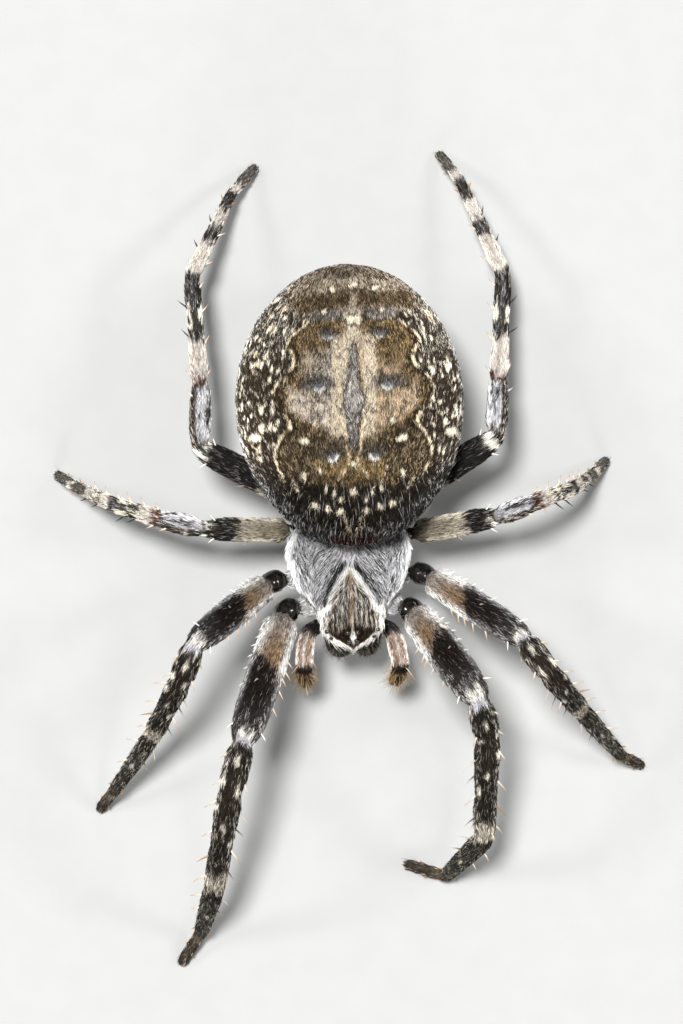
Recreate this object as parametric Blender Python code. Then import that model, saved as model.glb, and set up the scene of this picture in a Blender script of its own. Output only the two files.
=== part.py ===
"""Orb weaver spider, an adult female grey cross spider, as a still life-size model.

Metres, +Z up.  The head points along -Y, the animal's left is +X, and the eight
feet stand on the floor at z = 0.
"""

import math

import bmesh
import bpy
from mathutils import Matrix, Vector

MM = 0.001
NAME = "orb_weaver_spider"

# Gap between two neighbouring solids, and the finer one round the small eyes.
GAP = 0.03 * MM
EYE_GAP = 0.01 * MM

# Abdomen: an egg seen from the side, an ellipse seen from above.
ABDOMEN_LENGTH = 9.4 * MM
ABDOMEN_WIDTH = 7.72 * MM
ABDOMEN_HEIGHT = 6.3 * MM
ABDOMEN_CENTRE = Vector((-0.05, 5.36, 5.55)) * MM
ABDOMEN_TURN = math.radians(2.0)
ABDOMEN_FRONT_RISE = 0.62 * MM
ABDOMEN_BELLY_FLAT = 0.12
SHOULDER_SWELL = 0.05

# Front body: head and thorax under one domed shield, with the breastplate below.
SHIELD_FRONT_Y = -2.94 * MM
SHIELD_EDGE_Z = 4.08 * MM
SHIELD_TURN = math.radians(2.8)
SHIELD_PIVOT = Vector((-0.09, 0.5, 0.0)) * MM

# Every foot is pressed this far into the floor, which leaves a small flat under it.
FOOT_PRESS = 0.05 * MM
LEG_SIDES = 12

# The straight lengths of a leg and their materials; the last two form the foot.
SEGMENTS = (("femur", "leg_tan"), ("patella", "leg_pale"), ("tibia", "leg_dark"))
# Lengths in mm of femur, patella, tibia, metatarsus and tarsus, the same on the left
# and the right, and the widths there.
LEG_LENGTHS = {
    1: (5.3, 1.8, 4.4, 4.1, 1.5),
    2: (4.7, 1.6, 3.6, 3.5, 1.4),
    3: (3.2, 1.5, 2.2, 2.4, 1.4),
    4: (4.3, 2.1, 4.0, 3.8, 1.6),
}
COXA_WIDTHS = {1: 0.94, 2: 0.92, 3: 0.78, 4: 0.80}
LEG_WIDTHS = {
    1: (1.32, 0.96, 0.94, 0.76, 0.52),
    2: (1.12, 0.90, 0.86, 0.68, 0.50),
    3: (0.88, 0.76, 0.70, 0.58, 0.50),
    4: (0.98, 0.80, 0.70, 0.60, 0.50),
}

# Where each leg's hip starts inside the breastplate's edge, and where its femur
# begins, in mm.
HIP_OUT = 0.55
HIP_Y = {1: -1.20, 2: -0.42, 3: 0.36, 4: 1.12}
HIP_Z = 3.15
FEMUR_START = {
    (1, "right"): (-2.20, -1.60, 3.80),
    (1, "left"): (2.06, -1.58, 3.80),
    (2, "right"): (-2.72, -0.64, 3.75),
    (2, "left"): (2.46, -0.36, 3.75),
    (3, "right"): (-1.85, 1.08, 3.40),
    (3, "left"): (1.85, 0.95, 3.40),
    (4, "right"): (-1.50, 2.00, 3.10),
    (4, "left"): (1.50, 2.00, 3.10),
}

# The pose: compass bearing (from +X towards +Y) and slope of each length, in
# degrees.  The slope of the last one follows from the height of the foot.
POSE = {
    (1, "right"): ((-108, 32), (-104, 16), (-100, -37), (-107, -64), (-122, None)),
    (1, "left"): ((-53, 48), (-75, -38), (-91, -36), (-130, -62), (164, None)),
    (2, "right"): ((-141, 48), (-112, -28), (-118, -53), (-125, -45), (-128, None)),
    (2, "left"): ((-33, 34), (-53, 22), (-49, -61), (-48, -50), (-26, None)),
    (3, "right"): ((179, 19), (168, -6), (163, -34), (156, -52), (149, None)),
    (3, "left"): ((11, 15), (21, 32), (20, -46), (31, -68), (44, None)),
    (4, "right"): ((153, 21), (90, -13), (95, -16), (66, -32), (50, None)),
    (4, "left"): ((33, 21), (86, -29), (87, -18), (114, -20), (126, None)),
}

# How the width changes along each kind of length: (fraction, share of the width).
WIDTH_ALONG = {
    "coxa": ((0.0, 0.72), (0.45, 0.98), (0.66, 0.98), (0.75, 0.72), (0.88, 1.0), (1.0, 0.84)),
    "femur": ((0.0, 0.62), (0.15, 0.92), (0.42, 1.0), (0.76, 0.97), (0.90, 0.88), (1.0, 0.68)),
    "patella": ((0.0, 0.72), (0.26, 0.96), (0.70, 1.0), (1.0, 0.84)),
    "tibia": ((0.0, 0.86), (0.14, 1.0), (0.52, 0.85), (0.82, 0.90), (1.0, 0.80)),
    "metatarsus": ((0.0, 0.96), (0.16, 1.02), (0.55, 0.92), (0.88, 0.82), (1.0, 0.76)),
    "tarsus": ((0.0, 1.0), (0.24, 0.98), (0.72, 0.97), (0.93, 0.96), (1.0, 0.72)),
}
# How far the middle of a length bows out of the straight line, of its length.
BOW_ALONG = {"femur": 0.025, "patella": 0.05, "tibia": 0.012}
# How far before and after its bend a foot starts to round; one foot is curled.
FOOT_ROUNDING = {(1, "left"): 0.75}
FOOT_ROUND_STEPS = 3

# Mouth limbs.
JAW_TOP = (0.50, -2.46, 4.45)  # place of the left one's upper end, in mm
JAW_LEAN = (-0.04, -0.24, -1.0)
JAW_LENGTH = 2.20 * MM
JAW_WIDTH = 0.94 * MM
# (fraction of the jaw's length, fraction of its width)
JAW_WIDTHS = ((0.0, 0.80), (0.18, 0.98), (0.45, 1.0), (0.75, 0.84), (0.93, 0.60), (1.0, 0.32))
FANG_LENGTH = 0.62 * MM
FANG_WIDTH = 0.26 * MM
FANG_WIDTHS = (1.0, 0.95, 0.75, 0.5, 0.22)
# The fang's curve, in fang lengths: inwards, backwards, down and its sag, by steps of turn.
FANG_TURN = 22.0
FANG_SWEEP = (0.42, 0.62, 0.26, 0.16)
PALP_UPPER_WIDTH = 0.66 * MM
PALP_LOWER_WIDTH = 0.56 * MM

# Eyes: (distance from the middle, y, height of the centre, diameter), in mm.
EYES = {
    "front_middle": (0.13, -2.64, 5.00, 0.18),
    "rear_middle": (0.17, -2.33, 5.18, 0.18),
    "front_side": (0.72, -2.50, 4.80, 0.16),
    "rear_side": (0.86, -2.28, 4.89, 0.16),
}

# Width of the waist, and the place of the spinnerets behind and below the
# abdomen's middle, with their pairs from front to rear: (back, out, length, width).
PEDICEL_WIDTH = 0.72 * MM
SPINNERET_BACK = 2.79 * MM
SPINNERET_DOWN = 2.33 * MM
SPINNERET_LEAN = math.radians(32.0)
SPINNERET_PAIRS = ((-0.28, 0.24, 0.34, 0.46), (0.02, 0.13, 0.20, 0.26), (0.28, 0.25, 0.40, 0.42))

MATERIALS = {
    "abdomen_hide": ((0.16, 0.125, 0.085), 0.85),
    "shield_hide": ((0.36, 0.34, 0.32), 0.80),
    "leg_dark": ((0.045, 0.035, 0.028), 0.70),
    "leg_tan": ((0.27, 0.20, 0.135), 0.75),
    "leg_pale": ((0.40, 0.36, 0.32), 0.75),
    "coxa_grey": ((0.30, 0.28, 0.26), 0.75),
    "jaw_black": ((0.022, 0.017, 0.014), 0.40),
    "fang_brown": ((0.09, 0.025, 0.012), 0.25),
    "palp_tan": ((0.34, 0.26, 0.19), 0.75),
    "eye_black": ((0.006, 0.005, 0.005), 0.08),
    "spinneret_brown": ((0.055, 0.035, 0.022), 0.60),
}


# --- scene and materials ---------------------------------------------------------


def clear_scene():
    """Start from an empty file."""
    for thing in list(bpy.data.objects):
        bpy.data.objects.remove(thing, do_unlink=True)


def new_collection(name, cutters=False):
    """A collection of the scene; the cutters' one is kept out of renders."""
    group = bpy.data.collections.new(name)
    bpy.context.scene.collection.children.link(group)
    group.hide_render = cutters
    return group


def new_material(name, node_name):
    """One sub-part's own Principled material of a named colour."""
    colour, roughness = MATERIALS[name]
    look = bpy.data.materials.new(f"{name}_{node_name}")
    look.use_nodes = True
    shader = look.node_tree.nodes["Principled BSDF"]
    shader.inputs["Base Color"].default_value = (*colour, 1.0)
    shader.inputs["Roughness"].default_value = roughness
    shader.inputs["Metallic"].default_value = 0.0
    look.diffuse_color = (*colour, 1.0)
    return look


def object_of(mesh_maker, name, collection, material=None):
    """An object whose mesh is filled by mesh_maker(bmesh)."""
    shape = bmesh.new()
    mesh_maker(shape)
    bmesh.ops.recalc_face_normals(shape, faces=shape.faces)
    mesh = bpy.data.meshes.new(name)
    shape.to_mesh(mesh)
    shape.free()
    thing = bpy.data.objects.new(name, mesh)
    collection.objects.link(thing)
    if material:
        mesh.materials.append(new_material(material, name))
    return thing


def apply_modifiers(thing):
    """Bake an object's modifiers into its mesh."""
    graph = bpy.context.evaluated_depsgraph_get()
    mesh = bpy.data.meshes.new_from_object(thing.evaluated_get(graph), depsgraph=graph)
    thing.modifiers.clear()
    thing.data = mesh


def cut(thing, cutters):
    """Take the cutters away from an object."""
    for cutter in cutters:
        step = thing.modifiers.new("fit", "BOOLEAN")
        step.operation = "DIFFERENCE"
        step.solver = "EXACT"
        step.object = cutter
    apply_modifiers(thing)


def join(thing, others):
    """Grow the other solids onto an object and drop them."""
    for other in others:
        step = thing.modifiers.new("grow", "BOOLEAN")
        step.operation = "UNION"
        step.solver = "EXACT"
        step.object = other
    apply_modifiers(thing)
    for other in others:
        bpy.data.objects.remove(other, do_unlink=True)


# --- lofts -----------------------------------------------------------------------


def skin_rings(shape, rings):
    """Close a loft over rings of points, with a flat cap on each end."""
    loops = [[shape.verts.new(point) for point in ring] for ring in rings]
    count = len(loops[0])
    for near, far in zip(loops, loops[1:]):
        for i in range(count):
            j = (i + 1) % count
            shape.faces.new((near[i], near[j], far[j], far[i]))
    shape.faces.new(list(reversed(loops[0])))
    shape.faces.new(loops[-1])


def side_vectors(axis):
    """Two directions square to the axis, the second as near upright as it can be."""
    across = axis.cross(Vector((0.0, 0.0, 1.0)))
    across = across.normalized() if across.length > 1e-6 else Vector((1.0, 0.0, 0.0))
    return across, across.cross(axis).normalized()


def circle_point(across, other, number, count):
    """A point of the unit circle spanned by two directions."""
    angle = 2.0 * math.pi * number / count
    return across * math.cos(angle) + other * math.sin(angle)


def tube_rings(start, end, width, profile, start_normal, end_normal, bow=0.0):
    """Rings of a limb length; its two ends lie in the planes of the joints."""
    axis = (end - start).normalized()
    length = (end - start).length
    across, up = side_vectors(axis)
    rings = []
    for share, factor in profile:
        centre = start.lerp(end, share) + up * (bow * length * 4.0 * share * (1.0 - share))
        ring = []
        for i in range(LEG_SIDES):
            point = centre + 0.5 * width * factor * circle_point(across, up, i, LEG_SIDES)
            if share == 0.0:
                point = slide_to_plane(point, axis, start, start_normal)
            elif share == 1.0:
                point = slide_to_plane(point, axis, end, end_normal)
            ring.append(point)
        rings.append(ring)
    return rings


def slide_to_plane(point, axis, origin, normal):
    """Slide a point along the axis until it lies in the plane of a joint."""
    return point - axis * ((point - origin).dot(normal) / axis.dot(normal))


def limb_length(name, collection, material, start, end, width, kind, normals):
    """One length of a limb between two joint planes, a little short of both."""
    axis = (end - start).normalized()
    begin = start + axis * (GAP * 0.5)
    finish = end - axis * (GAP * 0.5)
    profile = WIDTH_ALONG[kind]
    bow = BOW_ALONG.get(kind, 0.0)

    def make(shape):
        skin_rings(shape, tube_rings(begin, finish, width, profile, *normals, bow=bow))

    return object_of(make, name, collection, material)


# --- abdomen ---------------------------------------------------------------------


def abdomen_place(point):
    """Turn a point of the abdomen a little about the upright, as it is held."""
    return ABDOMEN_CENTRE + Matrix.Rotation(ABDOMEN_TURN, 3, "Z") @ point


def abdomen_shape(margin):
    """The egg of the abdomen, larger all round by the margin."""

    def make(shape):
        turn = Matrix.Rotation(math.radians(90.0), 4, "X")
        bmesh.ops.create_uvsphere(shape, u_segments=28, v_segments=18, radius=1.0, matrix=turn)
        for vert in shape.verts:
            x, y, z = vert.co
            rise = -ABDOMEN_FRONT_RISE * y
            flat = 1.0 - ABDOMEN_BELLY_FLAT * max(0.0, -z)
            swell = 1.0 + SHOULDER_SWELL * (1.0 - y * y) * max(0.0, -y)
            wide = x * (0.5 * ABDOMEN_WIDTH + margin)
            long = y * (0.5 * ABDOMEN_LENGTH + margin)
            high = z * flat * swell * (0.5 * ABDOMEN_HEIGHT + margin) + rise
            vert.co = abdomen_place(Vector((wide, long, high)))

    return make


def cone(name, collection, sides, tip_width, root_width, length, place, material=None):
    """A short cone that points down in its own axes."""

    def make(shape):
        bmesh.ops.create_cone(
            shape,
            cap_ends=True,
            segments=sides,
            radius1=0.5 * tip_width,
            radius2=0.5 * root_width,
            depth=length,
            matrix=place,
        )

    return object_of(make, name, collection, material)


def spinneret_group(body, cutters, fitter):
    """Three pairs of short cones on one low mound under the abdomen's rear."""
    under = abdomen_place(Vector((0.0, SPINNERET_BACK, -SPINNERET_DOWN)))
    turn = Matrix.Rotation(ABDOMEN_TURN, 4, "Z") @ Matrix.Rotation(SPINNERET_LEAN, 4, "X")
    frame = Matrix.Translation(under) @ turn
    mound_size = (1.20 * MM, 1.72 * MM, 1.10 * MM)
    group = cone("spinnerets", body, 14, *mound_size, frame, "spinneret_brown")
    cones = []
    for back, out, length, width in SPINNERET_PAIRS:
        for side in (-1.0, 1.0):
            place = frame @ Matrix.Translation(Vector((side * out, back, -0.50 - 0.5 * length)) * MM)
            size = (0.56 * width * MM, width * MM, (length + 0.3) * MM)
            cones.append(cone("spinneret_cone", cutters, 8, *size, place))
    join(group, cones)
    cut(group, [fitter])


# --- front body ------------------------------------------------------------------


def shield_place(point):
    """Turn the front body a little about the upright, as the animal holds it."""
    arm = point - Vector((0.0, SHIELD_PIVOT.y, 0.0))
    return SHIELD_PIVOT + Matrix.Rotation(SHIELD_TURN, 3, "Z") @ arm


# Outline of the shield: (distance behind the front edge, half width), in mm.
SHIELD_OUTLINE = (
    (0.0, 0.16),
    (0.14, 0.34),
    (0.35, 0.75),
    (0.60, 1.01),
    (0.90, 1.12),
    (1.25, 1.14),
    (1.65, 1.42),
    (2.30, 1.86),
    (3.00, 2.08),
    (3.45, 2.13),
    (4.00, 1.92),
    (4.50, 1.36),
    (4.90, 0.62),
)
# Ridge line along the middle: (distance behind the front edge, height), in mm.
SHIELD_RIDGE = (
    (0.0, 4.66),
    (0.30, 5.02),
    (0.80, 5.30),
    (1.60, 5.28),
    (2.50, 5.20),
    (3.10, 5.04),
    (3.60, 4.84),
    (4.20, 4.42),
    (4.90, 3.86),
)
# Underside along the middle, from the brow back over the breastplate.
UNDERSIDE = (
    (0.0, 4.22),
    (0.80, 4.10),
    (1.02, 3.90),
    (1.24, 2.80),
    (1.60, 2.58),
    (3.90, 2.58),
    (4.60, 2.86),
    (4.90, 3.20),
)
# Half width of the breastplate along its length.
BREASTPLATE_OUTLINE = (
    (0.0, 0.24),
    (0.80, 0.62),
    (1.24, 0.70),
    (1.70, 0.92),
    (2.70, 1.00),
    (3.60, 0.80),
    (4.30, 0.50),
    (4.90, 0.36),
)
# Where the loft of the front body has its rings, in mm behind the front edge.
SHIELD_STATIONS = (
    *(0.0, 0.14, 0.35, 0.62, 0.95, 1.10, 1.26, 1.45, 1.75),
    *(2.15, 2.60, 3.05, 3.45, 3.85, 4.20, 4.50, 4.74, 4.90),
)
DOME_POINTS = 10
# The body's waist, from inside the thorax to inside the abdomen, in mm.
PEDICEL_ENDS = ((0.0, 1.30, 3.40), (0.0, 3.10, 3.95))


def straight_value(points, at):
    """A value on the straight lines between the (position, value) pairs."""
    for (x0, y0), (x1, y1) in zip(points, points[1:]):
        if at <= x1:
            return y0 + (y1 - y0) * (at - x0) / (x1 - x0)
    return points[-1][1]


def shield_ring(behind, margin):
    """One cross-section of the front body: a dome over a narrower breastplate."""
    y = SHIELD_FRONT_Y + behind * MM
    half = straight_value(SHIELD_OUTLINE, behind) * MM + margin
    top = straight_value(SHIELD_RIDGE, behind) * MM + margin
    bottom = straight_value(UNDERSIDE, behind) * MM - margin
    plate = straight_value(BREASTPLATE_OUTLINE, behind) * MM + margin
    tall = top - bottom
    edge = min(max(SHIELD_EDGE_Z, bottom + 0.32 * tall), top - 0.35 * tall)
    points = []
    for i in range(DOME_POINTS + 1):
        angle = math.pi * i / DOME_POINTS
        x = half * math.cos(angle)
        points.append((x, edge + (top - edge) * math.sin(angle) ** 0.9))
    brim = edge - 0.10 * MM - margin
    low_side = min(bottom + 0.22 * MM, 0.5 * (brim + bottom))
    wall = min(plate, 0.85 * half)
    high_side = brim - 0.12 * (brim - bottom)
    under = ((0.90 * half, brim), (wall, high_side), (wall, low_side), (0.62 * plate, bottom))
    points += [(-x, z) for x, z in under]
    points += list(reversed(under))
    return [shield_place(Vector((x, y, z))) for x, z in points]


def front_body_shape(margin):
    """The head and thorax in one piece, larger all round by the margin."""

    def make(shape):
        rings = [shield_ring(behind, margin) for behind in SHIELD_STATIONS]
        if margin:
            shift = Vector((0.0, margin, 0.0))
            rings.insert(0, [point - shift for point in rings[0]])
            rings.append([point + shift for point in rings[-1]])
        skin_rings(shape, rings)

    return make


def eye(name, body, fitter, across, y, z, width):
    """One glossy dome of an eye, seated in the head."""
    centre = shield_place(Vector((across, y, z)) * MM)

    def make(shape):
        bmesh.ops.create_uvsphere(
            shape, u_segments=10, v_segments=8, radius=0.5 * width * MM, matrix=Matrix.Translation(centre)
        )

    thing = object_of(make, name, body, "eye_black")
    cut(thing, [fitter])


def pedicel(body, fitters):
    """The narrow waist between the thorax and the abdomen."""
    start, end = (Vector(point) * MM for point in PEDICEL_ENDS)

    def make(shape):
        chained_tube(shape, [start, start.lerp(end, 0.5), end], [PEDICEL_WIDTH] * 3)

    waist = object_of(make, "pedicel", body, "spinneret_brown")
    cut(waist, fitters)


# --- mouth limbs -----------------------------------------------------------------


def chained_tube(shape, centres, widths, sides=12, ends=(None, None)):
    """A tube through a few centres with the width given at each; ends are joint planes."""
    rings = []
    last = len(centres) - 1
    for i, (centre, width) in enumerate(zip(centres, widths)):
        axis = (centres[min(i + 1, last)] - centres[max(i - 1, 0)]).normalized()
        if i == 0 and ends[0]:
            axis = ends[0]
        if i == last and ends[1]:
            axis = ends[1]
        across = axis.cross(Vector((0.0, 0.0, 1.0)))
        if across.length < 0.3:
            across = Vector((1.0, 0.0, 0.0))
        across.normalize()
        other = across.cross(axis).normalized()
        rings.append([centre + 0.5 * width * circle_point(across, other, k, sides) for k in range(sides)])
    skin_rings(shape, turned_alike(rings))


def jaw(side, body, fitter):
    """One stout jaw hanging from under the brow, and the fang folded under it."""
    name = "left" if side > 0 else "right"
    mirror = Vector((side, 1.0, 1.0))
    top = Vector(JAW_TOP) * mirror * MM
    lean = (Vector(JAW_LEAN) * mirror).normalized()
    centres = [shield_place(top + lean * (share * JAW_LENGTH)) for share, _ in JAW_WIDTHS]

    def make_jaw(shape):
        chained_tube(shape, centres, [width * JAW_WIDTH for _, width in JAW_WIDTHS])

    jaw_body = object_of(make_jaw, f"chelicera_{name}", body, "jaw_black")
    cut(jaw_body, [fitter])

    tip = top + lean * JAW_LENGTH
    inwards, backwards, down, sag = FANG_SWEEP
    path = []
    for k in range(len(FANG_WIDTHS)):
        sweep = math.radians(FANG_TURN * k)
        inward = -side * inwards * math.sin(sweep)
        back = backwards * (1.0 - math.cos(sweep))
        drop = -down - sag * math.sin(2.0 * sweep)
        path.append(shield_place(tip + Vector((inward, back, drop)) * FANG_LENGTH))

    def make_fang(shape):
        chained_tube(shape, path, [FANG_WIDTH * width for width in FANG_WIDTHS], sides=8)

    object_of(make_fang, f"fang_{name}", body, "fang_brown")


# Routes of the two feelers, in mm: centres of the upper and of the lower length.
PALP_ROUTE = {
    "right": (
        (
            (-0.62, -1.88, 3.12), (-1.06, -2.12, 3.44), (-1.42, -2.34, 3.72),
            (-1.54, -2.80, 3.86), (-1.58, -3.34, 3.80),
        ),
        (
            (-1.58, -3.38, 3.78), (-1.60, -3.64, 3.54), (-1.58, -3.88, 3.06),
            (-1.53, -4.06, 2.54), (-1.50, -4.13, 2.26),
        ),
    ),
    "left": (
        (
            (0.62, -1.88, 3.12), (1.02, -2.10, 3.44), (1.38, -2.30, 3.72),
            (1.54, -2.76, 3.86), (1.66, -3.30, 3.80),
        ),
        (
            (1.67, -3.34, 3.78), (1.68, -3.58, 3.54), (1.62, -3.82, 3.06),
            (1.52, -4.00, 2.54), (1.46, -4.06, 2.26),
        ),
    ),
}


def palp(side_name, body, fitter):
    """A feeler in two lengths: out beside the jaws, then down to its brush."""
    upper, lower = PALP_ROUTE[side_name]
    upper = [Vector(point) * MM for point in upper]
    lower = [Vector(point) * MM for point in lower]

    elbow = ((lower[1] - lower[0]).normalized() + (upper[-1] - upper[-2]).normalized()).normalized()

    def make_upper(shape):
        widths = [PALP_UPPER_WIDTH * width for width in (0.76, 0.76, 0.80, 1.0, 0.90)]
        chained_tube(shape, upper, widths, sides=10, ends=(None, elbow))

    def make_lower(shape):
        widths = [PALP_LOWER_WIDTH * width for width in (0.94, 1.0, 1.0, 0.92, 0.60)]
        chained_tube(shape, lower, widths, sides=10, ends=(elbow, None))

    upper_part = object_of(make_upper, f"palp_{side_name}_upper", body, "palp_tan")
    cut(upper_part, [fitter])
    object_of(make_lower, f"palp_{side_name}_lower", body, "leg_dark")


# --- legs ------------------------------------------------------------------------


def direction(bearing, slope):
    """Unit vector of a compass bearing and a slope in degrees."""
    flat = math.cos(math.radians(slope))
    return Vector(
        (
            flat * math.cos(math.radians(bearing)),
            flat * math.sin(math.radians(bearing)),
            math.sin(math.radians(slope)),
        )
    )


def leg_joints(pair, side):
    """The points where one leg bends, from the start of the femur to the foot."""
    points = [Vector(FEMUR_START[pair, side]) * MM]
    end_radius = 0.5 * LEG_WIDTHS[pair][-1] * WIDTH_ALONG["tarsus"][-1][1] * MM
    for length, (bearing, slope) in zip(LEG_LENGTHS[pair], POSE[pair, side]):
        if slope is None:
            slope = slope_to_floor(points[-1].z, length * MM, end_radius)
        points.append(points[-1] + direction(bearing, slope) * (length * MM))
    return points


def slope_to_floor(start_height, length, end_radius):
    """The slope that presses the lower edge of a foot's end just into the floor."""
    slope = 0.0
    for _ in range(8):
        end_height = end_radius * math.cos(slope) - FOOT_PRESS
        slope = math.asin(max(-1.0, min(1.0, (end_height - start_height) / length)))
    return math.degrees(slope)


def joint_normals(points):
    """The plane of each joint halves its bend."""
    axes = [(b - a).normalized() for a, b in zip(points, points[1:])]
    normals = [axes[0]]
    for before, after in zip(axes, axes[1:]):
        normals.append((before + after).normalized())
    normals.append(axes[-1])
    return normals


def flatten_on_floor(thing):
    """Press what is below the floor up to it, which gives the foot its flat."""
    for vert in thing.data.vertices:
        vert.co.z = max(0.0, vert.co.z)


def leg(pair, side, body, fitter):
    """Coxa with trochanter, femur, patella, tibia and the foot of one leg."""
    sign = 1.0 if side == "left" else -1.0
    stem = f"leg_{pair}_{side}"
    points = leg_joints(pair, side)
    hip = shield_place(Vector((sign * HIP_OUT, HIP_Y[pair], HIP_Z)) * MM)
    normals = joint_normals([hip, *points])

    width = COXA_WIDTHS[pair] * MM
    coxa = limb_length(f"{stem}_coxa", body, "coxa_grey", hip, points[0], width, "coxa", normals[0:2])
    cut(coxa, [fitter])
    for number, (kind, material) in enumerate(SEGMENTS):
        width = LEG_WIDTHS[pair][number] * MM
        ends = points[number : number + 2]
        planes = normals[number + 1 : number + 3]
        limb_length(f"{stem}_{kind}", body, material, *ends, width, kind, planes)
    foot(pair, side, body, points[3:6], normals[4])


def foot(pair, side, body, points, start_normal):
    """Metatarsus and tarsus as one length, bent in a round and flat on the floor."""
    start, bend, tip = points
    upper_width, lower_width = LEG_WIDTHS[pair][3:5]
    before = (bend - start).normalized()
    after = (tip - bend).normalized()
    reach = FOOT_ROUNDING.get((pair, side), 0.5) * MM
    upper_share = 1.0 - reach / (bend - start).length
    lower_share = reach / (tip - bend).length
    centres = []
    sizes = []
    for share, factor in WIDTH_ALONG["metatarsus"]:
        if share < upper_share - 0.08:
            centres.append(start.lerp(bend, share))
            sizes.append(upper_width * factor)
    joint_width = 0.5 * (upper_width * WIDTH_ALONG["metatarsus"][-1][1] + lower_width)
    for step in range(FOOT_ROUND_STEPS + 1):
        t = step / FOOT_ROUND_STEPS
        before_bend = bend - before * (reach * (1.0 - t))
        after_bend = bend + after * (reach * t)
        centres.append(before_bend.lerp(after_bend, t))
        sizes.append(joint_width + (0.5 - t) * 0.12 * upper_width)
    for share, factor in WIDTH_ALONG["tarsus"]:
        if share > lower_share + 0.08:
            centres.append(bend.lerp(tip, share))
            sizes.append(lower_width * factor)
    centres[0] = start + before * (0.5 * GAP)

    def make(shape):
        chained_tube(shape, centres, [size * MM for size in sizes], ends=(start_normal, None))

    thing = object_of(make, f"leg_{pair}_{side}_foot", body, "leg_dark")
    flatten_on_floor(thing)


def turned_alike(rings):
    """Start every ring at the point nearest the start of the ring before it."""
    alike = [rings[0]]
    for ring in rings[1:]:
        centre_before = sum(alike[-1], Vector()) / len(alike[-1])
        centre_here = sum(ring, Vector()) / len(ring)
        arm = alike[-1][0] - centre_before
        start = min(range(len(ring)), key=lambda k: ((ring[k] - centre_here) - arm).length)
        alike.append(ring[start:] + ring[:start])
    return alike


# --- assembly --------------------------------------------------------------------


def main():
    clear_scene()
    body = new_collection(NAME)
    cutters = new_collection("cutters", cutters=True)

    object_of(abdomen_shape(0.0), "abdomen", body, "abdomen_hide")
    object_of(front_body_shape(0.0), "cephalothorax", body, "shield_hide")
    around_abdomen = object_of(abdomen_shape(GAP), "around_abdomen", cutters)
    around_front = object_of(front_body_shape(GAP), "around_front", cutters)
    around_eyes = object_of(front_body_shape(EYE_GAP), "around_eyes", cutters)
    for cutter in (around_abdomen, around_front, around_eyes):
        cutter.display_type = "WIRE"

    pedicel(body, [around_front, around_abdomen])
    spinneret_group(body, cutters, around_abdomen)

    for side in (-1.0, 1.0):
        jaw(side, body, around_front)
        side_name = "left" if side > 0 else "right"
        palp(side_name, body, around_front)
        for place, (across, y, z, width) in EYES.items():
            eye(f"eye_{place}_{side_name}", body, around_eyes, side * across, y, z, width)
        for pair in LEG_LENGTHS:
            leg(pair, side_name, body, around_front)


main()
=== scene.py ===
"""Looks of a grey cross spider: one skin over the whole body, its coat of short hair with
the markings, the eyes, fangs, claws and the spines of the legs, on a pale floor.

The modelling works in millimetres and turns them into metres where a mesh is made.
"""

import itertools
import math

import bpy
import numpy as np
from mathutils.bvhtree import BVHTree
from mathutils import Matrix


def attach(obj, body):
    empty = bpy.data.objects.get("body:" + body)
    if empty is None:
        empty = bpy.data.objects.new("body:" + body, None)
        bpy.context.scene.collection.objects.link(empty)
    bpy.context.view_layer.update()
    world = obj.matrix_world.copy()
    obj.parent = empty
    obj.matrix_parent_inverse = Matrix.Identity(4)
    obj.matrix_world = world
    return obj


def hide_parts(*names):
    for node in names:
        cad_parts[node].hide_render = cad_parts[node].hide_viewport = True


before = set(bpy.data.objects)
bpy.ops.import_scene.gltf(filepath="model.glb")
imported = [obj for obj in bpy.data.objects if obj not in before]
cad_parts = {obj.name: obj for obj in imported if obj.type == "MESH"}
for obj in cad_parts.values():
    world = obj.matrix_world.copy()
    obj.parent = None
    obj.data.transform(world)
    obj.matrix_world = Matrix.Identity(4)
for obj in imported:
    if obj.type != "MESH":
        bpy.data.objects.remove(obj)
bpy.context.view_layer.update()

MM = 0.001
UP = np.array((0.0, 0.0, 1.0))

# --- sizes of the body, in mm and degrees

ABDOMEN_HALF = np.array((3.86, 4.7, 3.15))
ABDOMEN_CENTRE = np.array((-0.05, 5.36, 5.55))
ABDOMEN_TURN = math.radians(2.0)
ABDOMEN_FRONT_RISE = 0.62
ABDOMEN_BELLY_FLAT = 0.12
SHOULDER_SWELL = 0.05

SHIELD_FRONT_Y = -2.94
SHIELD_EDGE_Z = 4.08
SHIELD_TURN = math.radians(2.8)
SHIELD_PIVOT = np.array((-0.09, 0.5, 0.0))
SHIELD_REST = np.array((0.0, 0.5, 0.0))
SHIELD_LENGTH = 4.9
# (distance behind the brow, half width)
SHIELD_OUTLINE = (
    (0.0, 0.16), (0.14, 0.34), (0.35, 0.75), (0.6, 1.01), (0.9, 1.12), (1.25, 1.14), (1.65, 1.42),
    (2.3, 1.86), (3.0, 2.08), (3.45, 2.13), (4.0, 1.92), (4.5, 1.36), (4.9, 0.62),
)
# (distance behind the brow, height)
SHIELD_RIDGE = (
    (0.0, 4.66), (0.3, 5.02), (0.8, 5.3), (1.6, 5.28), (2.5, 5.2),
    (3.1, 5.04), (3.6, 4.84), (4.2, 4.42), (4.9, 3.86),
)
UNDERSIDE = (
    (0.0, 4.22), (0.8, 4.1), (1.02, 3.9), (1.24, 2.8),
    (1.6, 2.58), (3.9, 2.58), (4.6, 2.86), (4.9, 3.2),
)
# (distance behind the brow, half width)
BREASTPLATE_OUTLINE = (
    (0.0, 0.24), (0.8, 0.62), (1.24, 0.7), (1.7, 0.92),
    (2.7, 1.0), (3.6, 0.8), (4.3, 0.5), (4.9, 0.36),
)

SEGMENTS = ("coxa", "femur", "patella", "tibia", "metatarsus", "tarsus")
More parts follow.
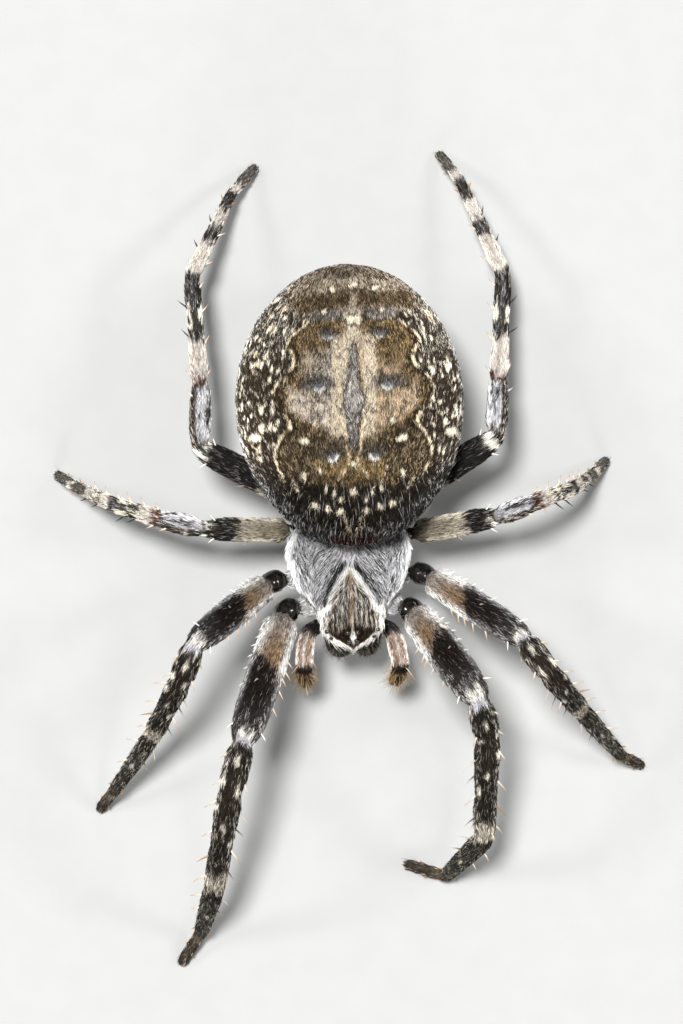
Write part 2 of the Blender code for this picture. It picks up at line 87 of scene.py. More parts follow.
# Lengths from the femur on, and widths from the coxa on.
LEG_LENGTHS = {
    1: (5.3, 1.8, 4.4, 4.1, 1.5),
    2: (4.7, 1.6, 3.6, 3.5, 1.4),
    3: (3.2, 1.5, 2.2, 2.4, 1.4),
    4: (4.3, 2.1, 4.0, 3.8, 1.6),
}
LEG_WIDTHS = {
    1: (0.94, 1.32, 0.96, 0.94, 0.76, 0.52),
    2: (0.92, 1.12, 0.9, 0.86, 0.68, 0.5),
    3: (0.78, 0.88, 0.76, 0.7, 0.58, 0.5),
    4: (0.8, 0.98, 0.8, 0.7, 0.6, 0.5),
}
HIP_OUT = 0.55
HIP_Y = {1: -1.2, 2: -0.42, 3: 0.36, 4: 1.12}
HIP_Z = 3.15
FEMUR_START = {
    (1, "right"): (-2.2, -1.6, 3.8),
    (1, "left"): (2.06, -1.58, 3.8),
    (2, "right"): (-2.72, -0.64, 3.75),
    (2, "left"): (2.46, -0.36, 3.75),
    (3, "right"): (-1.85, 1.08, 3.4),
    (3, "left"): (1.85, 0.95, 3.4),
    (4, "right"): (-1.5, 2.0, 3.1),
    (4, "left"): (1.5, 2.0, 3.1),
}
# Bearing and slope of each length from the femur on; the foot reaches the floor.
POSE = {
    (1, "right"): ((-108, 32), (-104, 16), (-100, -37), (-107, -64), (-122, None)),
    (1, "left"): ((-53, 48), (-75, -38), (-91, -36), (-130, -62), (164, None)),
    (2, "right"): ((-141, 48), (-112, -28), (-118, -53), (-125, -45), (-128, None)),
    (2, "left"): ((-33, 34), (-53, 22), (-49, -61), (-48, -50), (-26, None)),
    (3, "right"): ((179, 19), (168, -6), (163, -34), (156, -52), (149, None)),
    (3, "left"): ((11, 15), (21, 32), (20, -46), (31, -68), (44, None)),
    (4, "right"): ((153, 21), (90, -13), (95, -16), (66, -32), (50, None)),
    (4, "left"): ((33, 21), (86, -29), (87, -18), (114, -20), (126, None)),
}
FOOT_PRESS = 0.05
# How the width changes along each kind of length: (fraction, share of the width).
WIDTH_ALONG = {
    "coxa": ((0.0, 0.72), (0.45, 0.98), (0.66, 0.98), (0.75, 0.72), (0.88, 1.0), (1.0, 0.84)),
    "femur": ((0.0, 0.62), (0.15, 0.92), (0.42, 1.0), (0.76, 0.97), (0.9, 0.88), (1.0, 0.68)),
    "patella": ((0.0, 0.72), (0.26, 0.96), (0.7, 1.0), (1.0, 0.84)),
    "tibia": ((0.0, 0.86), (0.14, 1.0), (0.52, 0.85), (0.82, 0.9), (1.0, 0.8)),
    "metatarsus": ((0.0, 0.96), (0.16, 1.02), (0.55, 0.92), (0.88, 0.82), (1.0, 0.76)),
    "tarsus": ((0.0, 1.0), (0.24, 0.98), (0.72, 0.97), (0.93, 0.9), (1.0, 0.72)),
}
BOW_ALONG = {"femur": 0.025, "patella": 0.05, "tibia": 0.012}

JAW_TOP = (0.5, -2.46, 4.45)
JAW_LEAN = (-0.04, -0.24, -1.0)
JAW_LENGTH = 2.2
JAW_WIDTH = 0.94
JAW_WIDTHS = ((0.0, 0.8), (0.18, 0.98), (0.45, 1.0), (0.75, 0.84), (0.93, 0.6), (1.0, 0.32))
PALP_ROUTE = {
    "right": (
        (-0.62, -1.88, 3.12), (-1.06, -2.12, 3.44), (-1.42, -2.34, 3.72), (-1.54, -2.8, 3.86),
        (-1.58, -3.36, 3.79), (-1.6, -3.64, 3.54), (-1.58, -3.88, 3.06), (-1.53, -4.06, 2.54),
        (-1.5, -4.13, 2.26),
    ),
    "left": (
        (0.62, -1.88, 3.12), (1.02, -2.1, 3.44), (1.38, -2.3, 3.72), (1.54, -2.76, 3.86),
        (1.665, -3.32, 3.79), (1.68, -3.58, 3.54), (1.62, -3.82, 3.06), (1.52, -4.0, 2.54),
        (1.46, -4.06, 2.26),
    ),
}
PALP_WIDTHS = (0.5, 0.5, 0.54, 0.64, 0.6, 0.55, 0.55, 0.5, 0.34)
PEDICEL_ENDS = ((0.0, 1.3, 3.4), (0.0, 3.1, 3.95))
PEDICEL_WIDTH = 0.72
SPINNERET_PLACE = np.array((0.0, 2.79, -2.33))
SPINNERET_LEAN = math.radians(32.0)
SPINNERET_MOUND = (0.8, 0.8, 0.62)
SPINNERET_TAPER = ((0.0, 1.0), (0.35, 1.0), (0.6, 0.86), (0.85, 0.7), (1.0, 0.4))
# (distance back, distance out, length, width)
SPINNERET_PAIRS = ((-0.28, 0.24, 0.34, 0.46), (0.02, 0.13, 0.2, 0.26), (0.28, 0.25, 0.4, 0.42))
# (distance from the middle, y, height, diameter)
EYES = {
    "front_middle": (0.13, -2.64, 5.0, 0.18),
    "rear_middle": (0.17, -2.33, 5.18, 0.18),
    "front_side": (0.72, -2.5, 4.8, 0.16),
    "rear_side": (0.86, -2.28, 4.89, 0.16),
}

# How far the skin lies inside the outline of the coat.
DEPTH_ABDOMEN, DEPTH_FRONT, DEPTH_LEG, DEPTH_JAW = 0.08, 0.05, 0.06, 0.03
VOXEL = 0.087

CLAW_LENGTH, CLAW_WIDTH = 0.15, 0.06
FANG_SWEEP, FANG_WIDTH = 0.62, 0.26
SIDES = {"left": 1.0, "right": -1.0}

# --- colours, linear

BLACK = (0.01, 0.008, 0.006)
BLACK_BROWN = (0.016, 0.011, 0.007)
DARK_BROWN = (0.042, 0.027, 0.015)
UMBER = (0.085, 0.056, 0.03)
OCHRE = (0.3, 0.185, 0.095)
TAN = (0.33, 0.25, 0.175)
BEIGE = (0.52, 0.44, 0.34)
GREY_BEIGE = (0.46, 0.41, 0.35)
CREAM = (0.82, 0.76, 0.64)
PALE_GOLD = (0.72, 0.58, 0.36)
SILVER = (0.6, 0.6, 0.61)
GREY = (0.2, 0.195, 0.195)
SLATE = (0.1, 0.105, 0.12)
LILAC = (0.6, 0.59, 0.635)
WHITE = (0.88, 0.88, 0.87)
RUST = (0.16, 0.045, 0.025)
AMBER = (0.4, 0.17, 0.035)
FANG_BROWN = (0.11, 0.022, 0.01)
IVORY = (0.9, 0.83, 0.7)
HONEY = (0.84, 0.66, 0.46)


# --- small vector helpers


def unit(rows):
    """Rows of vectors, each made one long."""
    size = np.linalg.norm(rows, axis=-1, keepdims=True)
    return rows / np.maximum(size, 1e-9)


def dots(one, other):
    """Row by row dot products."""
    return (one * other).sum(-1)


def turned(points, angle, first=0):
    """Points turned in the plane of the axes first and first + 1."""
    c, s = math.cos(angle), math.sin(angle)
    made = np.array(points, float)
    one, other = made[:, first], made[:, first + 1]
    made[:, first], made[:, first + 1] = c * one - s * other, s * one + c * other
    return made


def smooth(low, high, value):
    """0 below low, 1 above high, and a soft step between."""
    t = np.clip((value - low) / (high - low), 0.0, 1.0)
    return t * t * (3.0 - 2.0 * t)


def band(centre, half, soft, value):
    """1 within half of the centre, fading to 0 over the soft width."""
    return 1.0 - smooth(half, half + soft, np.abs(value - centre))


def lattice_value(cell, seed):
    """One random number between 0 and 1 for each cell of a lattice."""
    key = cell.astype(np.uint64) @ np.array((73856093, 19349663, 83492791), np.uint64)
    key = key + np.uint64(seed * 2654435761 % (1 << 40))
    for _ in range(2):
        key = (key ^ (key >> np.uint64(15))) * np.uint64(2246822519)
    return ((key >> np.uint64(20)) & np.uint64(0xFFFF)).astype(float) / 65535.0


def grain(points, size, seed):
    """Smooth random values between 0 and 1 that change over about one size."""
    place = points / size + 1000.0
    low = np.floor(place)
    t = place - low
    t = t * t * (3.0 - 2.0 * t)
    total = np.zeros(len(points))
    for corner in itertools.product((0, 1), repeat=3):
        weight = np.prod(np.where(corner, t, 1.0 - t), axis=1)
        total += weight * lattice_value(low + np.array(corner), seed)
    return total


def flecks(points, flow, cell, along, across, chance, seed):
    """Short strokes that lie with the hair: 1 in the middle of one, 0 outside."""
    place = points / cell + 1000.0
    low = np.floor(place)
    best = np.zeros(len(points))
    for corner in itertools.product((-1, 0, 1), repeat=3):
        here = low + np.array(corner)
        centre = np.stack([lattice_value(here, seed + k) for k in range(3)], 1)
        present = lattice_value(here, seed + 3) < chance
        size = 0.6 + 0.7 * lattice_value(here, seed + 4)
        arm = (place - here - centre) * cell
        forward = dots(arm, flow)
        aside = np.sqrt(np.maximum(dots(arm, arm) - forward**2, 0.0))
        far = np.hypot(forward / along, aside / across) / size
        best = np.maximum(best, np.where(present, 1.0 - smooth(0.7, 1.15, far), 0.0))
    return best


def near_line(x, y, line, half):
    """1 on a line through the points given, 0 farther than about its half width."""
    best = np.full(len(x), 1e9)
    for (x0, y0), (x1, y1) in zip(line, line[1:]):
        dx, dy = x1 - x0, y1 - y0
        t = np.clip(((x - x0) * dx + (y - y0) * dy) / (dx * dx + dy * dy), 0.0, 1.0)
        best = np.minimum(best, np.hypot(x - x0 - t * dx, y - y0 - t * dy))
    return 1.0 - smooth(half * 0.75, half * 1.35, best)


class Paint:
    """Colours of a patch of coat: a dark hair, a pale hair and the share of pale ones."""

    def __init__(self, count, dark, pale, share):
        self.dark = np.tile(np.array(dark, float), (count, 1))
        self.pale = np.tile(np.array(pale, float), (count, 1))
        self.share = np.full(count, float(share))

    def over(self, mask, dark=None, pale=None, share=None):
        """Lay other values over these where the mask is 1."""
        mask = np.clip(mask, 0.0, 1.0)
        if dark is not None:
            self.dark += (np.array(dark) - self.dark) * mask[:, None]
        if pale is not None:
            self.pale += (np.array(pale) - self.pale) * mask[:, None]
        if share is not None:
            self.share += (share - self.share) * mask

    def skin(self):
        """What shows between the hairs, a little darker than they are."""
        share = self.share[:, None] ** 1.3
        return 0.6 * (self.dark * (1.0 - share) + self.pale * share)


# --- the skeleton


def abdomen_place(local):
    """From the abdomen's own axes to the animal's."""
    return ABDOMEN_CENTRE + turned(local, ABDOMEN_TURN)


def abdomen_local(points):
    """From the animal's axes to the abdomen's own."""
    return turned(points - ABDOMEN_CENTRE, -ABDOMEN_TURN)


def shield_place(points):
    """From the front body's own axes to the animal's."""
    return SHIELD_PIVOT + turned(np.atleast_2d(points) - SHIELD_REST, SHIELD_TURN)


def shield_local(points):
    """From the animal's axes to the front body's own."""
    return SHIELD_REST + turned(points - SHIELD_PIVOT, -SHIELD_TURN)


def direction(bearing, slope):
    """Unit vector of a compass bearing and a slope in degrees."""
    b, s = math.radians(bearing), math.radians(slope)
    return np.array((math.cos(s) * math.cos(b), math.cos(s) * math.sin(b), math.sin(s)))


def slope_to_floor(height, length, radius):
    """The slope that presses the lower edge of a foot's end just into the floor."""
    slope = 0.0
    for _ in range(8):
        end = radius * math.cos(slope) - FOOT_PRESS
        slope = math.asin(max(-1.0, min(1.0, (end - height) / length)))
    return math.degrees(slope)


def leg_points(pair, side):
    """The hip and every point where one leg bends, down to the tip of its foot."""
    hip = shield_place((SIDES[side] * HIP_OUT, HIP_Y[pair], HIP_Z))[0]
    points = [hip, np.array(FEMUR_START[pair, side])]
    radius = 0.5 * LEG_WIDTHS[pair][-1] * WIDTH_ALONG["tarsus"][-1][1]
    for length, (bearing, slope) in zip(LEG_LENGTHS[pair], POSE[pair, side]):
        if slope is None:
            slope = slope_to_floor(points[-1][2], length, radius)
        points.append(points[-1] + length * direction(bearing, slope))
    return points


STEP = 0.06
ROUNDING = 4


def distances(line):
    """How far along a line each of its points lies."""
    step = np.linalg.norm(np.diff(line, axis=0), axis=1)
    return np.concatenate(((0.0,), np.cumsum(step)))


class Limb:
    """A long round part: its line, widths, and where along it each length begins."""

    def __init__(self, centres, radii, segment, share, mirror):
        self.centre = centres
        self.radius = radii
        self.segment = segment
        self.share = share
        self.axis = unit(np.gradient(centres, axis=0))
        self.across = unit(np.cross(self.axis, UP)) * mirror
        self.top = np.cross(self.across, self.axis) * mirror
        self.along = distances(centres)

    def nearest(self, points):
        """The station next to each point."""
        found = np.empty(len(points), int)
        for start in range(0, len(points), 20000):
            part = points[start : start + 20000]
            apart = part[:, None, :] - self.centre[None]
            found[start : start + 20000] = (apart**2).sum(-1).argmin(1)
        return found

    def station(self, segment, fraction, whole=int):
        """The station at a fraction of the way along one of the limb's lengths."""
        rows = np.flatnonzero(self.segment == segment)
        return rows[whole(fraction * (len(rows) - 1))]


def rounded_line(centres, passes):
    """Soften the bends of a line and keep its two ends."""
    line = centres.copy()
    for _ in range(passes):
        line[1:-1] = 0.25 * line[:-2] + 0.5 * line[1:-1] + 0.25 * line[2:]
    return line


def make_leg(pair, side):
    """One leg as a limb from its hip to the tip of the foot."""
    points = leg_points(pair, side)
    centres, radii, segment, share = [], [], [], []
    for number, kind in enumerate(SEGMENTS):
        start, end = points[number], points[number + 1]
        length = np.linalg.norm(end - start)
        axis = (end - start) / length
        across = unit(np.cross(axis, UP))
        top = np.cross(across, axis)
        count = int(round(length / STEP))
        t = (np.arange(count) + (0.5 if number else 0.0)) / count
        bow = BOW_ALONG.get(kind, 0.0) * length * 4.0 * t * (1.0 - t)
        centres.append(start + t[:, None] * (end - start) + bow[:, None] * top)
        width = LEG_WIDTHS[pair][number] * np.interp(t, *zip(*WIDTH_ALONG[kind]))
        radii.append(0.5 * width - DEPTH_LEG)
        segment.append(np.full(count, number))
        share.append(t)
    radii = np.concatenate(radii)
    line = rounded_line(np.concatenate(centres), 3 * ROUNDING)
    radii = rounded_line(radii[:, None], 2)[:, 0]
    return Limb(line, radii, np.concatenate(segment), np.concatenate(share), -SIDES[side])


def make_palp(side):
    """One feeler as a limb from the mouth to the tip."""
    route = np.array(PALP_ROUTE[side])
    far = distances(route)
    at = np.linspace(0.0, far[-1], int(far[-1] / STEP))
    line = np.stack([np.interp(at, far, column) for column in route.T], 1)
    radii = 0.5 * np.interp(at, far, PALP_WIDTHS) - 0.5 * DEPTH_LEG
    segment = np.zeros(len(at), int)
    return Limb(rounded_line(line, ROUNDING), radii, segment, at / far[-1], -SIDES[side])


def jaw_line(sign, t):
    """Points down the middle of one jaw, in the front body's own axes."""
    mirror = np.array((sign, 1.0, 1.0))
    return JAW_TOP * mirror + t * JAW_LENGTH * unit(JAW_LEAN * mirror)


def make_jaw(sign):
    """One stout jaw as a limb that hangs from under the brow."""
    t = np.linspace(0.0, 1.0, 40)
    radii = 0.5 * JAW_WIDTH * np.interp(t, *zip(*JAW_WIDTHS)) - DEPTH_JAW
    return Limb(shield_place(jaw_line(sign, t[:, None])), radii, np.zeros(len(t), int), t, sign)


# --- lofts of the body's parts


def circle(sides):
    """The cosines and the sines of evenly spaced angles."""
    angle = np.arange(sides) * 2.0 * math.pi / sides
    return np.cos(angle), np.sin(angle)


def ball_rings(count, sides, margin):
    """Rings of a unit ball from its front to its rear."""
    cos, sin = circle(sides)
    for polar in np.linspace(margin, math.pi - margin, count):
        wide = math.sin(polar)
        yield np.stack((wide * cos, np.full(sides, -math.cos(polar)), wide * sin), 1)


def straight_limb(start, end, count, radius, taper=((0.0, 1.0), (1.0, 1.0))):
    """A straight limb with a table of (fraction, share of the radius)."""
    t = np.linspace(0.0, 1.0, count)
    line = start + t[:, None] * (end - start)
    return Limb(line, radius * np.interp(t, *zip(*taper)), t * 0, t, 1.0)


def loft(rings):
    """Points and faces of a closed loft over rings of equal size, capped at both ends."""
    rings = np.asarray(rings)
    count, sides = rings.shape[:2]
    points = rings.reshape(-1, 3)
    grid = np.arange(count * sides).reshape(count, sides)
    near, far = grid[:-1], grid[1:]
    quads = np.stack((near, np.roll(near, -1, 1), np.roll(far, -1, 1), far), -1)
    faces = quads.reshape(-1, 4).tolist()
    return points, [*faces, grid[0][::-1].tolist(), grid[-1].tolist()]


def limb_loft(limb, sides=28):
    """A limb as a loft of circles."""
    cos, sin = circle(sides)
    arm = cos[:, None] * limb.across[:, None] + sin[:, None] * limb.top[:, None]
    return loft(limb.centre[:, None] + limb.radius[:, None, None] * arm)


def abdomen_surface(unit_points, depth):
    """Points of the abdomen for points of the unit sphere."""
    x, y, z = unit_points.T
    half = ABDOMEN_HALF - depth
    flat = 1.0 - ABDOMEN_BELLY_FLAT * np.maximum(0.0, -z)
    swell = 1.0 + SHOULDER_SWELL * (1.0 - y * y) * np.maximum(0.0, -y)
    high = z * flat * swell * half[2] - ABDOMEN_FRONT_RISE * y
    return abdomen_place(np.stack((x * half[0], y * half[1], high), 1))


def abdomen_loft():
    """The abdomen as a loft of rings from its front to its rear."""
    return loft([abdomen_surface(ring, DEPTH_ABDOMEN) for ring in ball_rings(90, 120, 0.02)])


def eased(table, at):
    """Values of a table of (place, value) pairs with its corners softened."""
    places, values = zip(*table)
    spread = np.linspace(-0.16, 0.16, 9)
    weight = np.cos(spread / 0.16 * 0.5 * math.pi) + 0.05
    samples = [np.interp(at + shift, places, values) for shift in spread]
    return np.average(samples, axis=0, weights=weight)


def front_ring(behind):
    """One cross-section of head or thorax: a dome over a narrower breastplate."""
    half = eased(SHIELD_OUTLINE, behind) - DEPTH_FRONT
    top = eased(SHIELD_RIDGE, behind) - DEPTH_FRONT
    bottom = eased(UNDERSIDE, behind) + DEPTH_FRONT
    plate = eased(BREASTPLATE_OUTLINE, behind) - DEPTH_FRONT
    tall = top - bottom
    edge = min(max(SHIELD_EDGE_Z, bottom + 0.32 * tall), top - 0.35 * tall)
    angle = np.linspace(0.0, math.pi, 41)
    dome = np.stack((half * np.cos(angle), edge + (top - edge) * np.sin(angle) ** 0.9), 1)
    brim = edge - 0.1
    low_side = min(bottom + 0.22, 0.5 * (brim + bottom))
    wall = min(plate, 0.85 * half)
    under = np.array(((0.9 * half, brim), (wall, brim - 0.08), (wall, low_side), (0.62 * plate, bottom)))
    under = np.stack([np.interp(np.linspace(0, 3, 13), range(4), under[:, k]) for k in (0, 1)], 1)
    flat = np.concatenate((dome, under * (-1.0, 1.0), under[::-1]))
    ring = np.stack((flat[:, 0], np.full(len(flat), SHIELD_FRONT_Y + behind), flat[:, 1]), 1)
    return shield_place(ring)


def front_loft():
    """Head and thorax as one loft."""
    stations = np.linspace(0.03, SHIELD_LENGTH - 0.03, 80)
    return loft([front_ring(behind) for behind in stations])


def ball_loft(centre, radii, lean=0.0):
    """An egg-shaped lump."""
    upright = [ring[:, (0, 2, 1)] * (1.0, -1.0, 1.0) * radii for ring in ball_rings(16, 24, 0.05)]
    return loft([turned(ring, lean, 1) + centre for ring in upright])


def spinneret_lofts():
    """Three pairs of short tapering spinnerets on a low mound."""
    under = abdomen_place(SPINNERET_PLACE[None])[0]

    def placed(*place):
        return under + turned(turned((place,), SPINNERET_LEAN, 1), ABDOMEN_TURN)[0]

    made = [ball_loft(placed(0.0, 0.0, 0.1), SPINNERET_MOUND, SPINNERET_LEAN)]
    for (back, out, length, width), sign in itertools.product(SPINNERET_PAIRS, (-1.0, 1.0)):
        start = placed(sign * out, back, -0.3)
        end = placed(sign * out * 0.75, back, -0.5 - length)
        made.append(limb_loft(straight_limb(start, end, 14, 0.5 * width, SPINNERET_TAPER), 16))
    return made


def underside_lofts():
    """The waist, the plate of the epigyne with its tongue, and the mouth's side lobes."""
    start, end = np.array(PEDICEL_ENDS)
    plate = abdomen_surface(np.array(((0.0, -0.62, -0.785),)), 0.0)[0]
    return [
        limb_loft(straight_limb(start, end, 20, 0.5 * PEDICEL_WIDTH), 20),
        ball_loft(plate, (0.52, 0.34, 0.14), -0.25),
        ball_loft(plate + (0.0, 0.28, -0.06), (0.13, 0.34, 0.08), -0.1),
        *(ball_loft(shield_place((x, -1.86, 2.74))[0], (0.27, 0.36, 0.2), 0.2) for x in (-0.33, 0.33)),
    ]


LEGS = {(pair, side): make_leg(pair, side) for side in ("right", "left") for pair in LEG_LENGTHS}
PALPS = {side: make_palp(side) for side in ("right", "left")}
JAWS = {sign: make_jaw(sign) for sign in (-1.0, 1.0)}

ABDOMEN, FRONT, JAW, UNDER, SPINNERET = range(5)
LEG_LABEL = {key: number for number, key in enumerate(LEGS, 5)}
PALP_LABEL = {side: number for number, side in enumerate(PALPS, 13)}


def body_parts():
    """Every part of the flesh as (label, points, faces)."""
    parts = [(ABDOMEN, *abdomen_loft()), (FRONT, *front_loft())]
    parts += [(JAW, *limb_loft(limb)) for limb in JAWS.values()]
    parts += [(SPINNERET, *part) for part in spinneret_lofts()]
    parts += [(UNDER, *part) for part in underside_lofts()]
    parts += [(LEG_LABEL[key], *limb_loft(limb)) for key, limb in LEGS.items()]
    parts += [(PALP_LABEL[side], *limb_loft(limb, 20)) for side, limb in PALPS.items()]
    return parts


# --- the skin


def gathered(parts):
    """All parts in one list of points and one of faces, with the label of each face."""
    points, faces, labels = [], [], []
    start = 0
    for label, part_points, part_faces in parts:
        points.append(part_points)
        faces += [[index + start for index in face] for face in part_faces]
        labels += [label] * len(part_faces)
        start += len(part_points)
    return np.concatenate(points), faces, np.array(labels)


def fused(points, faces):
    """An object with one closed skin round overlapping shapes."""
    mesh = bpy.data.meshes.new("skin")
    mesh.from_pydata(points.tolist(), [], faces)
    shape = bpy.data.objects.new("skin", mesh)
    bpy.context.scene.collection.objects.link(shape)
    bpy.ops.object.select_all(action="DESELECT")
    shape.select_set(True)
    bpy.context.view_layer.objects.active = shape
    step = shape.modifiers.new("fuse", "REMESH")
    step.mode = "VOXEL"
    step.voxel_size = VOXEL
    step.adaptivity = 0.0
    bpy.ops.object.modifier_apply(modifier=step.name)
    return shape


def read_rows(items, name, width, kind):
    """A value of every item of a mesh, as rows of numbers."""
    rows = np.empty(len(items) * width, kind)
    items.foreach_get(name, rows)
    return rows.reshape(-1, width)


def summed(index, rows, count):
    """Sums of the rows that share an index."""
    return np.stack([np.bincount(index, column, count) for column in rows.T], 1)


def relaxed(places, edges, strengths):
    """Smooth a mesh by moving each point towards the middle of its neighbours."""
    count = np.bincount(edges.ravel(), minlength=len(places))[:, None]
    one, other = edges.T
    for strength in strengths:
        total = summed(one, places[other], len(places)) + summed(other, places[one], len(places))
        places = places + strength * (total / count - places)
    return places


def outer_shell(places, edges):
    """Which points belong to the same shell as the rearmost point."""
    group = np.arange(len(places))
    while True:
        low = np.minimum(group[edges[:, 0]], group[edges[:, 1]])
        new = group.copy()
        np.minimum.at(new, edges[:, 0], low)
        np.minimum.at(new, edges[:, 1], low)
        new = new[new]
        if (new == group).all():
            return group == group[places[:, 1].argmax()]
        group = new


# Where each trochanter begins and ends: (segment, fraction along it).
TROCHANTER_ENDS = ((0, 0.79), (1, 0.078))
DIMPLE_DEPTH, FOLD_HEIGHT, GROOVE_DEPTH, PIT_DEPTH, JOINT_DEPTH = 0.1, 0.035, 0.07, 0.14, 0.1


def dent(depth, far):
    """Depth of a soft round dent at a distance from its middle, in its own sizes."""
    return depth * np.exp(-(far**2))


def sculpted(places, normals, label):
    """Dimples and folds of the abdomen, grooves of the head, and the balls of the trochanters."""
    local = abdomen_local(places)
    on_top = (label == ABDOMEN) & (local[:, 2] > 0.0)
    push = np.zeros(len(places))
    for out, back, size, *_ in SIGILLA:
        far = np.hypot(np.abs(pattern_across(local)) - out, local[:, 1] - back)
        push -= on_top * dent(DIMPLE_DEPTH, far / size)
    folds = grain(local * (1.0, 2.2, 1.0), 0.5, 21) - 0.5
    push += (label == ABDOMEN) * FOLD_HEIGHT * folds
    shield = shield_local(places)
    on_shield = (label == FRONT) & (shield[:, 2] > 4.0)
    groove = near_line(np.abs(shield[:, 0]), shield[:, 1], HEAD_GROOVE, 0.16)
    push -= on_shield * GROOVE_DEPTH * groove
    pit = np.hypot(shield[:, 0] / 0.1, (shield[:, 1] - 0.35) / 0.3)
    push -= on_shield * dent(PIT_DEPTH, pit)
    for key, limb in LEGS.items():
        mine = np.flatnonzero(label == LEG_LABEL[key])
        along = limb.along[limb.nearest(places[mine])]
        for segment, where in TROCHANTER_ENDS:
            joint = limb.along[limb.station(segment, where)]
            push[mine] -= dent(JOINT_DEPTH, (along - joint) / 0.14)
        middle = limb.along[limb.station(1, 0.0)]
        push[mine] += dent(DEPTH_LEG, (along - middle) / 0.2)
    return places + push[:, None] * normals


# --- the markings: abdomen

# Muscle dimples: (distance from the middle, back from the abdomen's centre, size, slant and
# strength of the white rim). The white rim is white hair with a painted glint on the dimple's front side.
SIGILLA = ((1.13, 0.47, 0.14, 0.0, 0.65), (0.87, 2.14, 0.1, 0.0, 0.65), (0.69, -1.86, 0.13, 0.5, 1.0))
# The groove between head and thorax: (distance from the middle, y).
HEAD_GROOVE = ((0.06, -0.1), (0.3, -0.42), (0.62, -0.98), (0.98, -1.3), (1.22, -1.42))
# Edge of the leaf-shaped folium: (back from the centre, distance from the middle).
FOLIUM_EDGE = (
    (-2.75, 0.9), (-2.5, 2.2), (-2.1, 2.48), (-1.7, 2.55), (-1.4, 2.45), (-1.05, 2.2),
    (-0.85, 2.02), (-0.6, 2.12), (-0.1, 2.55), (0.4, 2.5), (1.0, 2.02), (1.4, 1.96),
    (1.8, 2.2), (2.1, 2.1), (2.4, 1.8), (2.65, 1.3),
)
# The pale wavy lines along it: (distance from the middle, back), and half widths.
FOLIUM_LINES = (
    (((1.5, 2.62), (1.72, 2.44), (1.98, 2.24), (2.18, 2.02), (2.26, 1.82)), 0.028),
    (((2.12, 1.72), (2.0, 1.52), (1.97, 1.34), (2.05, 1.12), (2.16, 1.02)), 0.042),
    (((2.42, 0.76), (2.56, 0.55), (2.7, 0.3)), 0.038),
    (((2.22, -0.55), (2.1, -0.74), (2.1, -0.92)), 0.055),
    (((2.1, -0.92), (2.3, -1.1), (2.48, -1.36), (2.58, -1.66), (2.55, -1.98)), 0.04),
    (((2.55, -1.98), (2.46, -2.2), (2.28, -2.48)), 0.032),
    (((1.98, -2.62), (1.8, -2.84)), 0.032),
)
MIDDLE_LINES = (
    (((0.24, 1.6), (0.19, 1.42), (0.26, 1.12)), 0.03),
    (((0.4, -0.66), (0.27, -1.0), (0.24, -1.4), (0.25, -1.66)), 0.03),
    (((0.25, -1.66), (0.13, -1.88), (0.17, -2.2), (0.48, -2.5)), 0.028),
    (((0.3, -3.72), (0.12, -4.2), (0.05, -4.5)), 0.026),
)
# Half width of the dark mark along the middle: (back, half width).
MIDDLE_MARK = (
    (-1.75, 0.0), (-1.6, 0.12), (-1.1, 0.17), (-0.7, 0.22), (-0.2, 0.34), (0.1, 0.36),
    (0.5, 0.24), (0.9, 0.13), (1.3, 0.16), (1.6, 0.13), (1.9, 0.0),
)
# Cream spots: (distance from the middle, back, half width, half length).
ABDOMEN_SPOTS = (
    (1.62, -1.34, 0.2, 0.12), (1.3, -0.75, 0.07, 0.14), (0.03, -2.12, 0.09, 0.1),
    (0.04, -2.92, 0.09, 0.1), (0.62, -2.95, 0.06, 0.11), (0.9, -2.82, 0.06, 0.1),
    (0.42, -3.18, 0.08, 0.09), (0.42, -3.54, 0.1, 0.1), (0.86, -3.42, 0.11, 0.09),
    (1.28, -3.32, 0.14, 0.1), (1.62, -2.46, 0.09, 0.13), (1.1, -2.3, 0.05, 0.11),
    (3.22, -1.18, 0.22, 0.16), (3.02, -0.86, 0.1, 0.15), (0.98, 2.96, 0.12, 0.09),
    (0.72, 3.72, 0.12, 0.1), (0.1, 2.66, 0.16, 0.16), (0.06, 3.84, 0.1, 0.12),
    (0.33, -0.42, 0.07, 0.08),
)


def pattern_across(local):
    """Distance from the pattern's middle line, which leans a little."""
    return local[:, 0] - 0.13 - 0.035 * local[:, 1]


